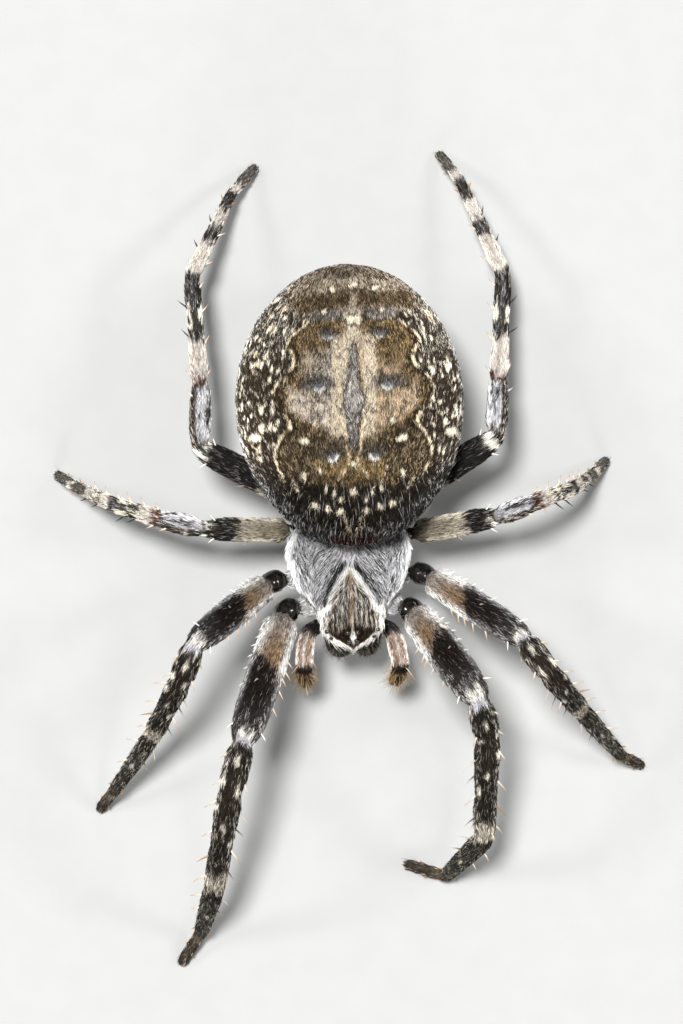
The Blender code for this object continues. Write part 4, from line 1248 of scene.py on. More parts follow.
def mesh_object(name, points, triangles, colours, material, uv=None, smooth_faces=True):
    """An object of triangles with a colour at each point, in metres."""
    mesh = bpy.data.meshes.new(name)
    mesh.vertices.add(len(points))
    mesh.vertices.foreach_set("co", (points * MM).astype(np.float32).ravel())
    mesh.loops.add(triangles.size)
    mesh.loops.foreach_set("vertex_index", triangles.astype(np.int32).ravel())
    mesh.polygons.add(len(triangles))
    starts = np.arange(len(triangles), dtype=np.int32) * triangles.shape[1]
    mesh.polygons.foreach_set("loop_start", starts)
    mesh.update(calc_edges=True)
    mesh.polygons.foreach_set("use_smooth", np.full(len(triangles), smooth_faces))
    rgba = np.ones((len(points), 4), np.float32)
    rgba[:, :3] = np.clip(colours, 0.0, 1.0)
    layer = mesh.attributes.new("marking", "FLOAT_COLOR", "POINT")
    layer.data.foreach_set("color", rgba.ravel())
    if uv is not None:
        mesh.uv_layers.new(name="OFBake").data.foreach_set("uv", uv.astype(np.float32).ravel())
    mesh.validate()
    mesh.materials.append(material)
    thing = bpy.data.objects.new(name, mesh)
    bpy.context.scene.collection.objects.link(thing)
    return thing


def point_normals(places, triangles):
    """Smooth normals of a mesh's points."""
    a, b, c = (places[corner] for corner in triangles.T)
    face = np.cross(b - a, c - a)
    return unit(sum(summed(corner, face, len(places)) for corner in triangles.T))


class Skin:
    """The one skin: places, normals, triangles, and a label for each point."""

    def __init__(self):
        points, faces, labels = gathered(body_parts())
        tree = BVHTree.FromPolygons(points.tolist(), faces)
        shape = fused(points, faces)
        mesh = shape.data
        mesh.calc_loop_triangles()
        places = read_rows(mesh.vertices, "co", 3, np.float32).astype(float)
        edges = read_rows(mesh.edges, "vertices", 2, np.int32)
        triangles = read_rows(mesh.loop_triangles, "vertices", 3, np.int32)
        keep = outer_shell(places, edges)
        places = relaxed(places, edges, (0.6, -0.62, 0.6, -0.62, 0.5, 0.5, 0.4))
        number = np.cumsum(keep) - 1
        self.triangles = number[triangles[keep[triangles[:, 0]]]]
        places = places[keep]
        self.label = np.array([labels[tree.find_nearest(place)[2]] for place in places])
        normals = point_normals(places, self.triangles)
        places = sculpted(places, normals, self.label)
        places[:, 2] = np.maximum(places[:, 2], 0.0)
        self.places = places
        self.normals = point_normals(places, self.triangles)
        bpy.data.objects.remove(shape)

    def scatter(self, label, density, rng):
        """Roots of hairs: places and normals, with about density(...) of them per mm2."""
        rows = self.triangles[self.label[self.triangles[:, 0]] == label]
        corners = self.places[rows]
        a, b, c = corners.transpose(1, 0, 2)
        area = 0.5 * np.linalg.norm(np.cross(b - a, c - a), axis=1)
        weight = area * density(corners.mean(1), unit(self.normals[rows].mean(1)))
        total = np.cumsum(weight)
        count = int(total[-1])
        marks = (np.arange(count) + rng.random(count)) * (total[-1] / count)
        face = np.minimum(np.searchsorted(total, marks), len(rows) - 1)
        u, v = rng.random(count), rng.random(count)
        over = u + v > 1.0
        u[over], v[over] = 1.0 - u[over], 1.0 - v[over]
        share = np.stack((1.0 - u - v, u, v), 1)[:, :, None]
        return (corners[face] * share).sum(1), unit((self.normals[rows][face] * share).sum(1))


# --- hairs

PATCH = 0.003
TUFT, TUFT_TURN, TUFT_SWAY = 0.16, 0.44, 0.3
CONTRAST, TUFT_CONTRAST, TIP_LIGHT = 0.76, 0.25, 1.12
ROOT_DEPTH, RIDGE_AT, DROOP, LOWEST = 0.012, 0.42, 0.35, 0.004
HAIR_FACES = np.array(((0, 1, 3), (0, 2, 1), (0, 3, 2), (1, 2, 3)))
PATCH_CORNERS = np.array(((-0.5, -0.5), (0.5, -0.5), (0.0, -0.1), (0.0, 0.5)))


class Hairs:
    """Short hairs, each a slim closed sliver with a ridge, gathered into tufts."""

    def __init__(self, roots, normals, flow, seed, unrest=0.09):
        self.rng = np.random.default_rng(seed)
        self.roots = roots
        self.normals = normals
        self.count = len(roots)
        cell = np.floor(roots / TUFT + 0.35 * flow + 500.0)
        self.tuft = [lattice_value(cell, seed + k) for k in range(3)]
        turn = TUFT_TURN * (self.tuft[0] - 0.5) + self.rng.normal(0.0, unrest, self.count)
        side = np.cross(normals, flow)
        self.flow = np.cos(turn)[:, None] * flow + np.sin(turn)[:, None] * side

    def coloured(self, paint):
        """One colour for each hair from the paint at its root."""
        draw = TUFT_SWAY * self.tuft[1] + (1.0 - TUFT_SWAY) * self.rng.random(self.count)
        spread = np.clip((draw - 0.5) * 1.15 + 0.5, 0.0, 1.0)
        blend = self.rng.random(self.count) ** 2
        mix = np.where(spread < paint.share, 1.0 - 0.35 * blend, 0.14 * blend * (paint.share > 0.02))
        colour = paint.dark + (paint.pale - paint.dark) * mix[:, None]
        light = 1.0 + CONTRAST * (self.rng.random(self.count) - 0.5)
        light *= 1.0 + TUFT_CONTRAST * (self.tuft[2] - 0.5)
        return colour * light[:, None]

    def shaped(self, length, width, lift):
        """Points of every hair: two at the root, one on the ridge and one at the tip."""
        long = (length * (0.75 + 0.5 * self.rng.random(self.count)))[:, None]
        wide = (width * (0.8 + 0.4 * self.rng.random(self.count)))[:, None]
        rise = (lift * (0.5 + self.rng.random(self.count)))[:, None]
        across = np.cross(self.normals, self.flow)
        root = self.roots - ROOT_DEPTH * self.normals
        height = rise * long * (1.0 + DROOP) * 0.5 + 0.5 * wide
        ridge = root + RIDGE_AT * long * self.flow + height * self.normals
        tip = root + long * self.flow + rise * long * self.normals
        points = np.stack((root - 0.5 * wide * across, root + 0.5 * wide * across, ridge, tip), 1)
        points[:, :, 2] = np.maximum(points[:, :, 2], LOWEST)
        return points

    def build(self, name, points, colours, places, material):
        """The hairs as one mesh with its map of root places."""
        start = np.arange(self.count)[:, None, None] * 4
        triangles = (start + HAIR_FACES[None]).reshape(-1, 3)
        shade = np.array((0.8, 0.8, 1.0, TIP_LIGHT))
        colour = colours[:, None, :] * shade[None, :, None]
        uv = places[:, None, :] + PATCH * PATCH_CORNERS[HAIR_FACES.ravel()][None]
        return mesh_object(
            name, points.reshape(-1, 3), triangles, colour.reshape(-1, 3), material,
            uv.reshape(-1, 2), smooth_faces=False,
        )


def fitted(values):
    """Map coordinates spread over the sheet, with a small border."""
    low, high = values.min(0), values.max(0)
    return 0.01 + 0.98 * (values - low) / np.maximum(high - low, 1e-6)


def abdomen_sheet(points, up=1.0):
    """Unroll of the abdomen: angle round its long axis, and angle from its front."""
    x, y, z = (abdomen_local(points) / ABDOMEN_HALF).T
    return np.stack((np.arctan2(x, up * z), np.arctan2(y, np.hypot(x, z))), 1)


def belly_sheet(points):
    """The same unroll for the lower side, cut along the back."""
    return abdomen_sheet(points, -1.0)


def front_sheet(points):
    """Unroll of the front body round its long axis."""
    x, y, z = shield_local(points).T
    return np.stack((np.arctan2(x, z - 3.9), y), 1)


def limb_sheet(limb):
    """Unroll of a limb: distance along it, and angle round it."""

    def sheet(points):
        station = limb.nearest(points)
        arm = points - limb.centre[station]
        around = np.arctan2(dots(arm, limb.across[station]), dots(arm, limb.top[station]))
        return np.stack((limb.along[station] + dots(arm, limb.axis[station]), around), 1)

    return sheet


# --- long hairs and spines


class Strands:
    """Long hairs or spines: closed tapering tubes that bend as they go out."""

    def __init__(self, sides, shape):
        self.sides = sides
        self.shape = shape
        self.rings = len(shape)

    def lines(self, roots, heading, bend, length):
        """Middle lines: each starts along its heading and turns towards its bend."""
        t = np.linspace(0.0, 1.0, self.rings + 1)[None, :, None]
        way = heading[:, None] * t + bend[:, None] * t**2
        return roots[:, None] + length[:, None, None] * way

    def mesh(self, lines, width):
        """Points and triangles of all strands; the last point of each is its tip."""
        axis = unit(np.gradient(lines, axis=1))
        helper = np.where(np.abs(axis[..., 2:]) < 0.9, UP, np.array((1.0, 0.0, 0.0)))
        across = unit(np.cross(axis, helper))
        other = np.cross(across, axis)
        cos, sin = circle(self.sides)
        arm = cos[:, None] * across[:, :-1, None] + sin[:, None] * other[:, :-1, None]
        size = 0.5 * width * np.array(self.shape)
        rings = lines[:, :-1, None] + size[:, None, None] * arm
        points = np.concatenate((rings.reshape(len(lines), -1, 3), lines[:, -1:]), 1)
        points[:, :, 2] = np.maximum(points[:, :, 2], 0.003)
        return points, self.faces(len(lines))

    def faces(self, count):
        """Triangles of every strand, wound to face outwards."""
        sides, rows = self.sides, []
        for ring in range(self.rings - 1):
            for k in range(sides):
                a, b = ring * sides + k, ring * sides + (k + 1) % sides
                rows += [(a, a + sides, b), (b, a + sides, b + sides)]
        last = (self.rings - 1) * sides
        rows += [(last + k, self.rings * sides, last + (k + 1) % sides) for k in range(sides)]
        rows += [(0, k, k + 1) for k in range(1, sides - 1)]
        each = self.rings * sides + 1
        return (np.arange(count)[:, None, None] * each + np.array(rows)[None]).reshape(-1, 3)

    def build(self, name, lines, width, root_colour, tip_colour, places, material):
        """The strands as one mesh, coloured from root to tip."""
        points, triangles = self.mesh(lines, width)
        each = self.rings * self.sides + 1
        t = np.append(np.repeat(np.arange(self.rings), self.sides), self.rings) / self.rings
        colour = root_colour[:, None] * (1.0 - t)[None, :, None] + tip_colour[:, None] * t[None, :, None]
        spin = np.append(np.tile(np.arange(self.sides), self.rings) / (self.sides - 1), 0.5)
        patch = PATCH * (np.stack((spin, t), 1) - 0.5)
        uv = (places[:, None] + patch[None]).reshape(-1, 2)[triangles.ravel()]
        return mesh_object(name, points.reshape(-1, 3), triangles, colour.reshape(-1, 3), material, uv)


# Spines of legs 1 and 2: (segment, fraction, degrees from the top towards the outer side,
# length, colour of the tip, colour of the root).
FRONT_SPINES = (
    (1, 0.2, 78, 0.2, WHITE, CREAM), (1, 0.27, 82, 0.2, WHITE, CREAM),
    (1, 0.33, 76, 0.22, WHITE, CREAM), (1, 0.41, 80, 0.22, WHITE, CREAM),
    (1, 0.5, 84, 0.2, WHITE, BEIGE), (1, 0.63, 80, 0.22, WHITE, BEIGE),
    (1, 0.38, -78, 0.34, AMBER, CREAM), (1, 0.45, -84, 0.36, AMBER, CREAM),
    (1, 0.52, -78, 0.38, AMBER, CREAM), (1, 0.6, -84, 0.36, AMBER, CREAM),
    (1, 0.73, -80, 0.36, AMBER, CREAM), (1, 0.93, -74, 0.3, WHITE, CREAM),
    (1, 0.92, 76, 0.3, WHITE, CREAM), (1, 0.62, 18, 0.26, BEIGE, GREY_BEIGE),
    (2, 0.3, -70, 0.3, BEIGE, UMBER), (2, 0.35, 74, 0.26, AMBER, CREAM),
    (2, 0.82, -72, 0.34, AMBER, CREAM), (2, 0.85, 76, 0.3, AMBER, CREAM),
    (3, 0.1, 82, 0.42, AMBER, CREAM), (3, 0.4, 86, 0.46, AMBER, CREAM),
    (3, 0.65, 80, 0.46, AMBER, OCHRE), (3, 0.86, 84, 0.42, AMBER, CREAM),
    (3, 0.2, -80, 0.46, BEIGE, GREY_BEIGE), (3, 0.36, -86, 0.46, BEIGE, BLACK_BROWN),
    (3, 0.55, -80, 0.48, AMBER, CREAM), (3, 0.78, -84, 0.44, GREY_BEIGE, BLACK_BROWN),
    (3, 0.5, 20, 0.3, BLACK_BROWN, BLACK), (3, 0.3, 150, 0.4, AMBER, BEIGE),
    (3, 0.6, -150, 0.4, AMBER, BEIGE), (4, 0.18, 84, 0.4, AMBER, CREAM),
    (4, 0.48, 80, 0.36, AMBER, CREAM), (4, 0.14, -82, 0.44, BEIGE, GREY_BEIGE),
    (4, 0.4, -86, 0.38, BEIGE, DARK_BROWN), (4, 0.9, 80, 0.18, AMBER, OCHRE),
    (4, 0.92, -80, 0.18, AMBER, OCHRE), (4, 0.3, 160, 0.32, AMBER, BEIGE),
    (5, 0.4, 95, 0.12, AMBER, OCHRE), (5, 0.62, -95, 0.12, AMBER, OCHRE),
)
REAR_SPINES = (
    (1, 0.3, 70, 0.22, BEIGE, UMBER), (1, 0.55, -72, 0.24, BEIGE, UMBER),
    (1, 0.92, 76, 0.26, WHITE, CREAM), (1, 0.92, -76, 0.26, WHITE, CREAM),
    (2, 0.55, 30, 0.22, GREY_BEIGE, UMBER), (2, 0.86, -72, 0.26, AMBER, CREAM),
    (3, 0.1, 78, 0.24, AMBER, CREAM), (3, 0.12, -78, 0.24, AMBER, CREAM),
    (3, 0.38, 84, 0.34, AMBER, CREAM), (3, 0.46, -80, 0.34, BLACK_BROWN, BLACK),
    (3, 0.66, 80, 0.34, AMBER, CREAM), (3, 0.72, -84, 0.36, BLACK_BROWN, BLACK),
    (3, 0.9, 84, 0.3, AMBER, CREAM), (3, 0.55, 155, 0.3, AMBER, BEIGE),
    (4, 0.18, 82, 0.28, AMBER, CREAM), (4, 0.3, -84, 0.28, UMBER, BLACK_BROWN),
    (4, 0.5, 82, 0.28, AMBER, CREAM), (4, 0.62, -80, 0.26, UMBER, BLACK_BROWN),
    (4, 0.9, 80, 0.18, AMBER, OCHRE), (4, 0.9, -80, 0.18, AMBER, OCHRE),
    (5, 0.5, 95, 0.12, AMBER, OCHRE),
)
PALP_SPINES = (
    (0, 0.3, 10, 0.3, CREAM, BEIGE), (0, 0.52, -60, 0.4, AMBER, CREAM),
    (0, 0.58, 50, 0.5, AMBER, CREAM), (0, 0.72, 85, 0.34, AMBER, CREAM),
    (0, 0.75, -85, 0.34, AMBER, CREAM), (0, 0.86, 10, 0.4, CREAM, BEIGE),
)
SPINE_WIDTH, PALP_SPINE_WIDTH = 0.064, 0.026
SPINE_LEAN = 50.0


def spines(name, limb, table, material, seed, width=SPINE_WIDTH):
    """Stout spines that lean towards the tip of a limb."""
    rng = np.random.default_rng(seed)
    at = np.array([limb.station(segment, where, round) for segment, where, *_ in table])
    angle = np.radians(np.array([row[2] for row in table]) + rng.normal(0.0, 5.0, len(table)))
    out = np.sin(angle)[:, None] * limb.across[at] + np.cos(angle)[:, None] * limb.top[at]
    slant = np.radians(SPINE_LEAN + rng.normal(0.0, 6.0, len(table)))[:, None]
    heading = np.sin(slant) * out + np.cos(slant) * limb.axis[at]
    length = np.array([row[3] for row in table]) * (1.05 + 0.25 * rng.random(len(table)))
    tip, root = (np.array([row[k] for row in table]) for k in (4, 5))
    start = limb.centre[at] + (limb.radius[at, None] - 0.02) * out
    strands = Strands(6, (1.0, 0.95, 0.82, 0.62, 0.34))
    lines = strands.lines(start, heading, 0.16 * limb.axis[at], length)
    places = fitted(np.stack((limb.along[at], angle), 1))
    return strands.build(name, lines, width, root, tip, places, material)


def long_hairs(skin, material, name, label, where, look, colours, sheet, seed, slot):
    """Scattered long hairs on one part. look: hairs per mm2, rise, length, width."""
    amount, heading, length, width = look
    rng = np.random.default_rng(seed)
    place, normals = skin.scatter(label, even(amount, where), rng)
    flow, _, bare = dressed(label, place, normals)
    keep = bare < 0.9
    place, normals, flow = place[keep], normals[keep], flow[keep]
    count = len(place)
    side = np.cross(normals, flow) * rng.normal(0.0, 0.25, count)[:, None]
    rise = (heading * (0.7 + 0.6 * rng.random(count)))[:, None]
    way = unit(flow + rise * normals + side)
    bend = 0.35 * (flow - normals * np.minimum(rise, 0.6))
    size = length * (0.7 + 0.6 * rng.random(count))
    strands = Strands(3, (1.0, 0.8, 0.5))
    lines = strands.lines(place - 0.01 * normals, way, bend, size)
    light = (0.8 + 0.4 * rng.random(count))[:, None]
    tip, root = (np.tile(np.array(colour), (count, 1)) * light for colour in colours)
    piece = strands.build(name, lines, width, root, tip, fitted(sheet(place)), material)
    finish_piece(piece, slot)


# --- materials

ROUGH_SKIN, GLOSSY_SKIN = 0.55, 0.16


def node(tree, kind, **values):
    """A shader node with its inputs and settings set."""
    made = tree.nodes.new(kind)
    for name, value in values.items():
        if name in made.inputs:
            made.inputs[name].default_value = value
        else:
            setattr(made, name, value)
    return made


def noise(tree, scale, detail=3.0):
    """Noise in the object's own place."""
    place = node(tree, "ShaderNodeTexCoord")
    made = node(tree, "ShaderNodeTexNoise", Scale=scale, Detail=detail)
    tree.links.new(place.outputs["Object"], made.inputs["Vector"])
    return made.outputs["Fac"]


def ranged(tree, value, from_low, from_high, low, high):
    """A value stretched to run between low and high."""
    made = node(tree, "ShaderNodeMapRange")
    names = ("From Min", "From Max", "To Min", "To Max")
    for name, number in zip(names, (from_low, from_high, low, high)):
        made.inputs[name].default_value = number
    tree.links.new(value, made.inputs["Value"])
    return made.outputs["Result"]


def bump(tree, shader, scale, height, strength, by_gloss=False):
    """Fine relief of a surface, none where a gloss value says it is polished."""
    made = node(tree, "ShaderNodeBump", Strength=strength, Distance=height)
    tree.links.new(noise(tree, scale, 4.0), made.inputs["Height"])
    tree.links.new(made.outputs["Normal"], shader.inputs["Normal"])
    if by_gloss:
        relief = ranged(tree, by_gloss, GLOSSY_SKIN, ROUGH_SKIN, 0.0, strength)
        tree.links.new(relief, made.inputs["Strength"])


def new_material(name, roughness):
    """A new material with its tree of nodes and its shader."""
    material = bpy.data.materials.new(name)
    material.use_nodes = True
    shader = material.node_tree.nodes["Principled BSDF"]
    shader.inputs["Roughness"].default_value = roughness
    return material, material.node_tree, shader


def marked(name, roughness, low, high, scale, relief=None, gloss=False, shine=0.06):
    """A material whose colour is the piece's markings with a fine grain over them."""
    material, tree, shader = new_material(name, roughness)
    shader.inputs["Specular IOR Level"].default_value = shine
    colour = node(tree, "ShaderNodeAttribute", attribute_name="marking")
    times = node(tree, "ShaderNodeVectorMath", operation="SCALE")
    tree.links.new(colour.outputs["Color"], times.inputs[0])
    tree.links.new(ranged(tree, noise(tree, scale), 0.3, 0.7, low, high), times.inputs["Scale"])
    tree.links.new(times.outputs["Vector"], shader.inputs["Base Color"])
    polish = None
    if gloss:
        polish = node(tree, "ShaderNodeAttribute", attribute_name="roughness").outputs["Fac"]
        tree.links.new(polish, shader.inputs["Roughness"])
        shiny_until = 0.6 * GLOSSY_SKIN + 0.4 * ROUGH_SKIN
        shiny = ranged(tree, polish, GLOSSY_SKIN, shiny_until, 1.0, shine)
        tree.links.new(shiny, shader.inputs["Specular IOR Level"])
    if relief:
        bump(tree, shader, *relief, by_gloss=polish)
    return material


def plain(name, dark, light, scale, roughness, relief=None, coat=0.0):
    """A material of two close colours mixed by noise."""
    material, tree, shader = new_material(name, roughness)
    shader.inputs["Coat Weight"].default_value = coat
    shader.inputs["Coat Roughness"].default_value = 0.03
    ramp = node(tree, "ShaderNodeValToRGB")
    for stop, place, colour in zip(ramp.color_ramp.elements, (0.35, 0.65), (dark, light)):
        stop.position = place
        stop.color = (*colour, 1.0)
    tree.links.new(noise(tree, scale), ramp.inputs["Fac"])
    tree.links.new(ramp.outputs["Color"], shader.inputs["Base Color"])
    if relief:
        bump(tree, shader, *relief)
    return material


# --- the pieces


def finish_piece(piece, slot, *stands_for):
    """Fix a piece to the body and hide the parts it stands for."""
    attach(piece, "root")
    if stands_for:
        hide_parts(*stands_for)


def build_skin(skin, material):
    """The skin with its markings and the gloss of its bare rings."""
    colours = np.zeros_like(skin.places)
    rough = np.full(len(skin.places), ROUGH_SKIN)
    for label in np.unique(skin.label):
        rows = np.flatnonzero(skin.label == label)
        _, paint, bare = dressed(label, skin.places[rows], skin.normals[rows])
        colours[rows] = paint.skin()
        rough[rows] += (GLOSSY_SKIN - ROUGH_SKIN) * bare
    piece = mesh_object("skin", skin.places, skin.triangles, colours, material)
    layer = piece.data.attributes.new("roughness", "FLOAT", "POINT")
    layer.data.foreach_set("value", rough.astype(np.float32))
    flesh = [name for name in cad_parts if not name.startswith(("eye_", "fang_"))]
    finish_piece(piece, "abdomen_hide", *flesh)


def coat(skin, material, name, label, density, size, sheet, seed, slot, unrest=0.09):
    """One patch of short hair. size gives length, width and lift at the roots."""
    rng = np.random.default_rng(seed)
    roots, normals = skin.scatter(label, density, rng)
    flow, paint, bare = dressed(label, roots, normals)
    keep = rng.random(len(roots)) >= bare
    roots, normals, flow = roots[keep], normals[keep], flow[keep]
    paint.dark, paint.pale, paint.share = paint.dark[keep], paint.pale[keep], paint.share[keep]
    hairs = Hairs(roots, normals, flow, seed, unrest)
    points = hairs.shaped(*size(roots, normals))
    piece = hairs.build(name, points, hairs.coloured(paint), fitted(sheet(roots)), material)
    finish_piece(piece, slot)


def abdomen_hair(points, normals):
    """Length, width and lift of the abdomen's hairs."""
    back = abdomen_local(points)[:, 1]
    front = smooth(-3.0, -4.3, back)
    rear = smooth(3.6, 4.5, back)
    return 0.165 + 0.1 * front + 0.05 * rear, 0.023 + 0 * back, 0.26 + 0.12 * front


def front_hair(points, normals):
    """Length, width and lift of the hairs of head and thorax."""
    local = shield_local(points)
    head = smooth(-1.2, -1.8, local[:, 1])
    face = smooth(-2.1, -2.5, local[:, 1])
    return 0.32 - 0.07 * head - 0.11 * face, 0.024 - 0.004 * head, 0.18 + 0 * head


def leg_hair(limb):
    """Length, width and lift of a leg's hairs, smaller towards the foot."""

    def sizes(points, normals):
        station = limb.nearest(points)
        place = limb.segment[station] + limb.share[station]
        side = np.abs(dots(normals, limb.across[station]))
        foot = smooth(4.0, 5.2, place)
        length = 0.235 + 0.03 * smooth(0.6, 1.0, side) - 0.08 * foot
        length = np.where(place < 1.0, 0.16, length)
        lift = np.where(place < 1.0, 0.16, 0.1 + 0.07 * smooth(0.5, 1.0, side))
        return length, 0.024 - 0.006 * foot, lift

    return sizes


def short_hair(length, width, lift):
    """The same size for every hair."""

    def sizes(points, normals):
        none = np.zeros(len(points))
        return length + none, width + none, lift + none

    return sizes


def even(amount, where=None):
    """So many hairs per mm2, where a rule holds."""

    def density(points, normals):
        everywhere = np.full(len(points), float(amount))
        return everywhere if where is None else everywhere * where(points, normals)

    return density


def leg_density(limb, amount):
    """Hairs per mm2 of a leg, fewer on its lower side."""

    def density(points, normals):
        station = limb.nearest(points)
        top = dots(normals, limb.top[station])
        return amount * (0.72 + 0.28 * smooth(-0.6, 0.0, top))

    return density


# Length, width and lift of the hairs of the belly, of the small parts and of the feelers.
SMALL_HAIR = ((0.2, 0.031, 0.24), (0.16, 0.018, 0.28), (0.17, 0.02, 0.26))


def quarter(sign, way):
    """A rule that holds on one quarter of the abdomen's upper side."""

    def where(points, normals):
        x, y, _ = abdomen_local(points).T
        return (sign * x > 0.0) * (way * y > 0.0) * (normals[:, 2] > -0.25)

    return where


def build_coats(skin, material):
    """All the short hair."""
    below = even(380, lambda points, normals: normals[:, 2] <= -0.25)
    low, tiny, fine = (short_hair(*size) for size in SMALL_HAIR)
    coats = []
    for (side, sign), (end, way) in itertools.product(SIDES.items(), (("front", -1.0), ("rear", 1.0))):
        name, where, seed = f"abdomen_{side}_{end}", even(1250, quarter(sign, way)), 101 + len(coats)
        coats.append((name, ABDOMEN, where, abdomen_hair, abdomen_sheet, seed, "abdomen_hide", 0.26))
    coats += [
        ("abdomen_below", ABDOMEN, below, low, belly_sheet, 105, "abdomen_hide", 0.2),
        ("front_body", FRONT, even(1100), front_hair, front_sheet, 106, "shield_hide"),
        ("jaws", JAW, even(420), tiny, front_sheet, 110, "jaw_black"),
        ("waist", UNDER, even(420), tiny, belly_sheet, 111, "spinneret_brown"),
        ("spinnerets", SPINNERET, even(420), tiny, belly_sheet, 112, "spinneret_brown"),
    ]
    for number, (side, limb) in enumerate(PALPS.items()):
        sheet, seed = limb_sheet(limb), 120 + number
        coats.append((f"palp_{side}", PALP_LABEL[side], even(800), fine, sheet, seed, "palp_tan"))
    for number, ((pair, side), limb) in enumerate(LEGS.items()):
        label, where = LEG_LABEL[pair, side], leg_density(limb, 600)
        sheet, seed = limb_sheet(limb), 130 + number
        coats.append((f"leg_{pair}_{side}", label, where, leg_hair(limb), sheet, seed, "leg_dark"))
    for name, *rest in coats:
        coat(skin, material, f"coat_{name}", *rest)


# Colours of long hairs, at the tip and at the root.
SILVERY = ((0.8, 0.79, 0.77), (0.05, 0.02, 0.015))
SNOWY = ((0.9, 0.89, 0.86), CREAM)
THIN_WHITE = ((0.86, 0.86, 0.86), (0.5, 0.5, 0.5))
DUSKY = ((0.36, 0.32, 0.26), (0.05, 0.04, 0.03))
BRUSH = ((0.62, 0.47, 0.27), (0.16, 0.08, 0.03))
BRISTLE = (GREY_BEIGE, DARK_BROWN)


def shoulder(points, normals):
    """Where the long hairs of the abdomen's front stand."""
    back = abdomen_local(points)[:, 1]
    amount = 0.25 * smooth(-2.3, -2.9, back) + 0.75 * smooth(-3.5, -4.2, back)
    return amount * (normals[:, 2] > -0.3)


def head_border(points, normals):
    """Where the long hairs round the head's edge stand."""
    x, y, z = shield_local(points).T
    edge = shield_half_width(y) - np.abs(x)
    return smooth(0.3, 0.2, edge) * smooth(-0.9, -1.2, y) * (z > 4.35)


def thorax_top(points, normals):
    """Where the silver hairs of the thorax stand."""
    return smooth(-1.5, -1.2, shield_local(points)[:, 1]) * (normals[:, 2] > 0.0)


def jaw_front(points, normals):
    """Where the long hairs of the jaws stand."""
    return normals[:, 1] < 0.2


def palp_end(limb):
    """Where the brush of a feeler stands."""
    return lambda points, normals: smooth(0.58, 0.66, limb.share[limb.nearest(points)])


def build_long_hairs(skin, material):
    """The fringes, the brushes of the feelers and the scattered long hairs."""
    for number, (name, label, where, look, colours, slot) in enumerate((
        ("fringe_abdomen", ABDOMEN, shoulder, (32, 0.56, 0.42, 0.018), SILVERY, "abdomen_hide"),
        ("fringe_head", FRONT, head_border, (90, 0.32, 0.34, 0.02), SNOWY, "shield_hide"),
        ("silver_hairs_thorax", FRONT, thorax_top, (75, 0.18, 0.4, 0.022), THIN_WHITE, "shield_hide"),
        ("jaw_hairs", JAW, jaw_front, (60, 0.9, 0.4, 0.015), DUSKY, "jaw_black"),
    )):
        sheet = abdomen_sheet if label == ABDOMEN else front_sheet
        long_hairs(skin, material, name, label, where, look, colours, sheet, 201 + number, slot)
    for number, (side, limb) in enumerate(PALPS.items()):
        long_hairs(
            skin, material, f"brush_palp_{side}", PALP_LABEL[side], palp_end(limb),
            (70, 1.8, 0.52, 0.02), BRUSH, limb_sheet(limb), 205 + number, "palp_tan",
        )
    for number, ((pair, side), limb) in enumerate(LEGS.items()):
        long_hairs(
            skin, material, f"bristles_leg_{pair}_{side}", LEG_LABEL[pair, side], None,
            (9, 0.8, 0.3, 0.016), BRISTLE, limb_sheet(limb), 210 + number, "leg_dark",
        )


def build_spines(material):
    """Spines of the legs and the feelers."""
    for number, ((pair, side), limb) in enumerate(LEGS.items()):
        table = FRONT_SPINES if pair <= 2 else REAR_SPINES
        piece = spines(f"spines_leg_{pair}_{side}", limb, table, material, 300 + number)
        finish_piece(piece, "leg_pale")
    for number, (side, limb) in enumerate(PALPS.items()):
        piece = spines(f"spines_palp_{side}", limb, PALP_SPINES, material, 320 + number, PALP_SPINE_WIDTH)
        finish_piece(piece, "palp_tan")


def build_claws(material):
    """Two hooked claws at the tip of every foot."""
    strands = Strands(8, (1.0, 0.95, 0.84, 0.68, 0.48, 0.26))
    colour = np.tile(np.array(UMBER), (2, 1))
    places = np.array(((0.3, 0.5), (0.7, 0.5)))
    for (pair, side), limb in LEGS.items():
        flat = unit(limb.axis[-1] * (1.0, 1.0, 0.0))
        across = np.array(((-1.0,), (1.0,))) * np.cross(UP, flat)
        root = limb.centre[-1] - 0.03 * flat + 0.05 * across + 0.02 * UP
        heading = unit(flat + 0.1 * across + 0.25 * UP)
        lines = strands.lines(root, heading, np.tile(-0.8 * UP, (2, 1)), np.full(2, CLAW_LENGTH))
        name = f"claws_leg_{pair}_{side}"
        piece = strands.build(name, lines, CLAW_WIDTH, colour, 0.2 * colour, places, material)
        finish_piece(piece, "jaw_black")


def build_fangs(material):
    """The two curved fangs under the jaws."""
    turn = np.linspace(0.0, math.radians(88.0), 17)
    shape = np.interp(np.linspace(0, 4, 16), range(5), (1.0, 0.95, 0.75, 0.5, 0.22))
    colour, places = np.array((FANG_BROWN,)), np.array(((0.5, 0.5),))
    strands = Strands(16, shape)
    for side, sign in SIDES.items():
        x, y, z = jaw_line(sign, 1.0)
        inward = FANG_SWEEP * 0.42 * np.sin(turn)
        back = FANG_SWEEP * 0.62 * (1.0 - np.cos(turn))
        down = FANG_SWEEP * (0.26 + 0.16 * np.sin(2.0 * turn))
        line = shield_place(np.stack((x - sign * inward, y + back, z - down), 1))[None]
        name = f"curved_fang_{side}"
        piece = strands.build(name, line, FANG_WIDTH, 0.25 * colour, colour, places, material)
        finish_piece(piece, "fang_brown", f"fang_{side}")


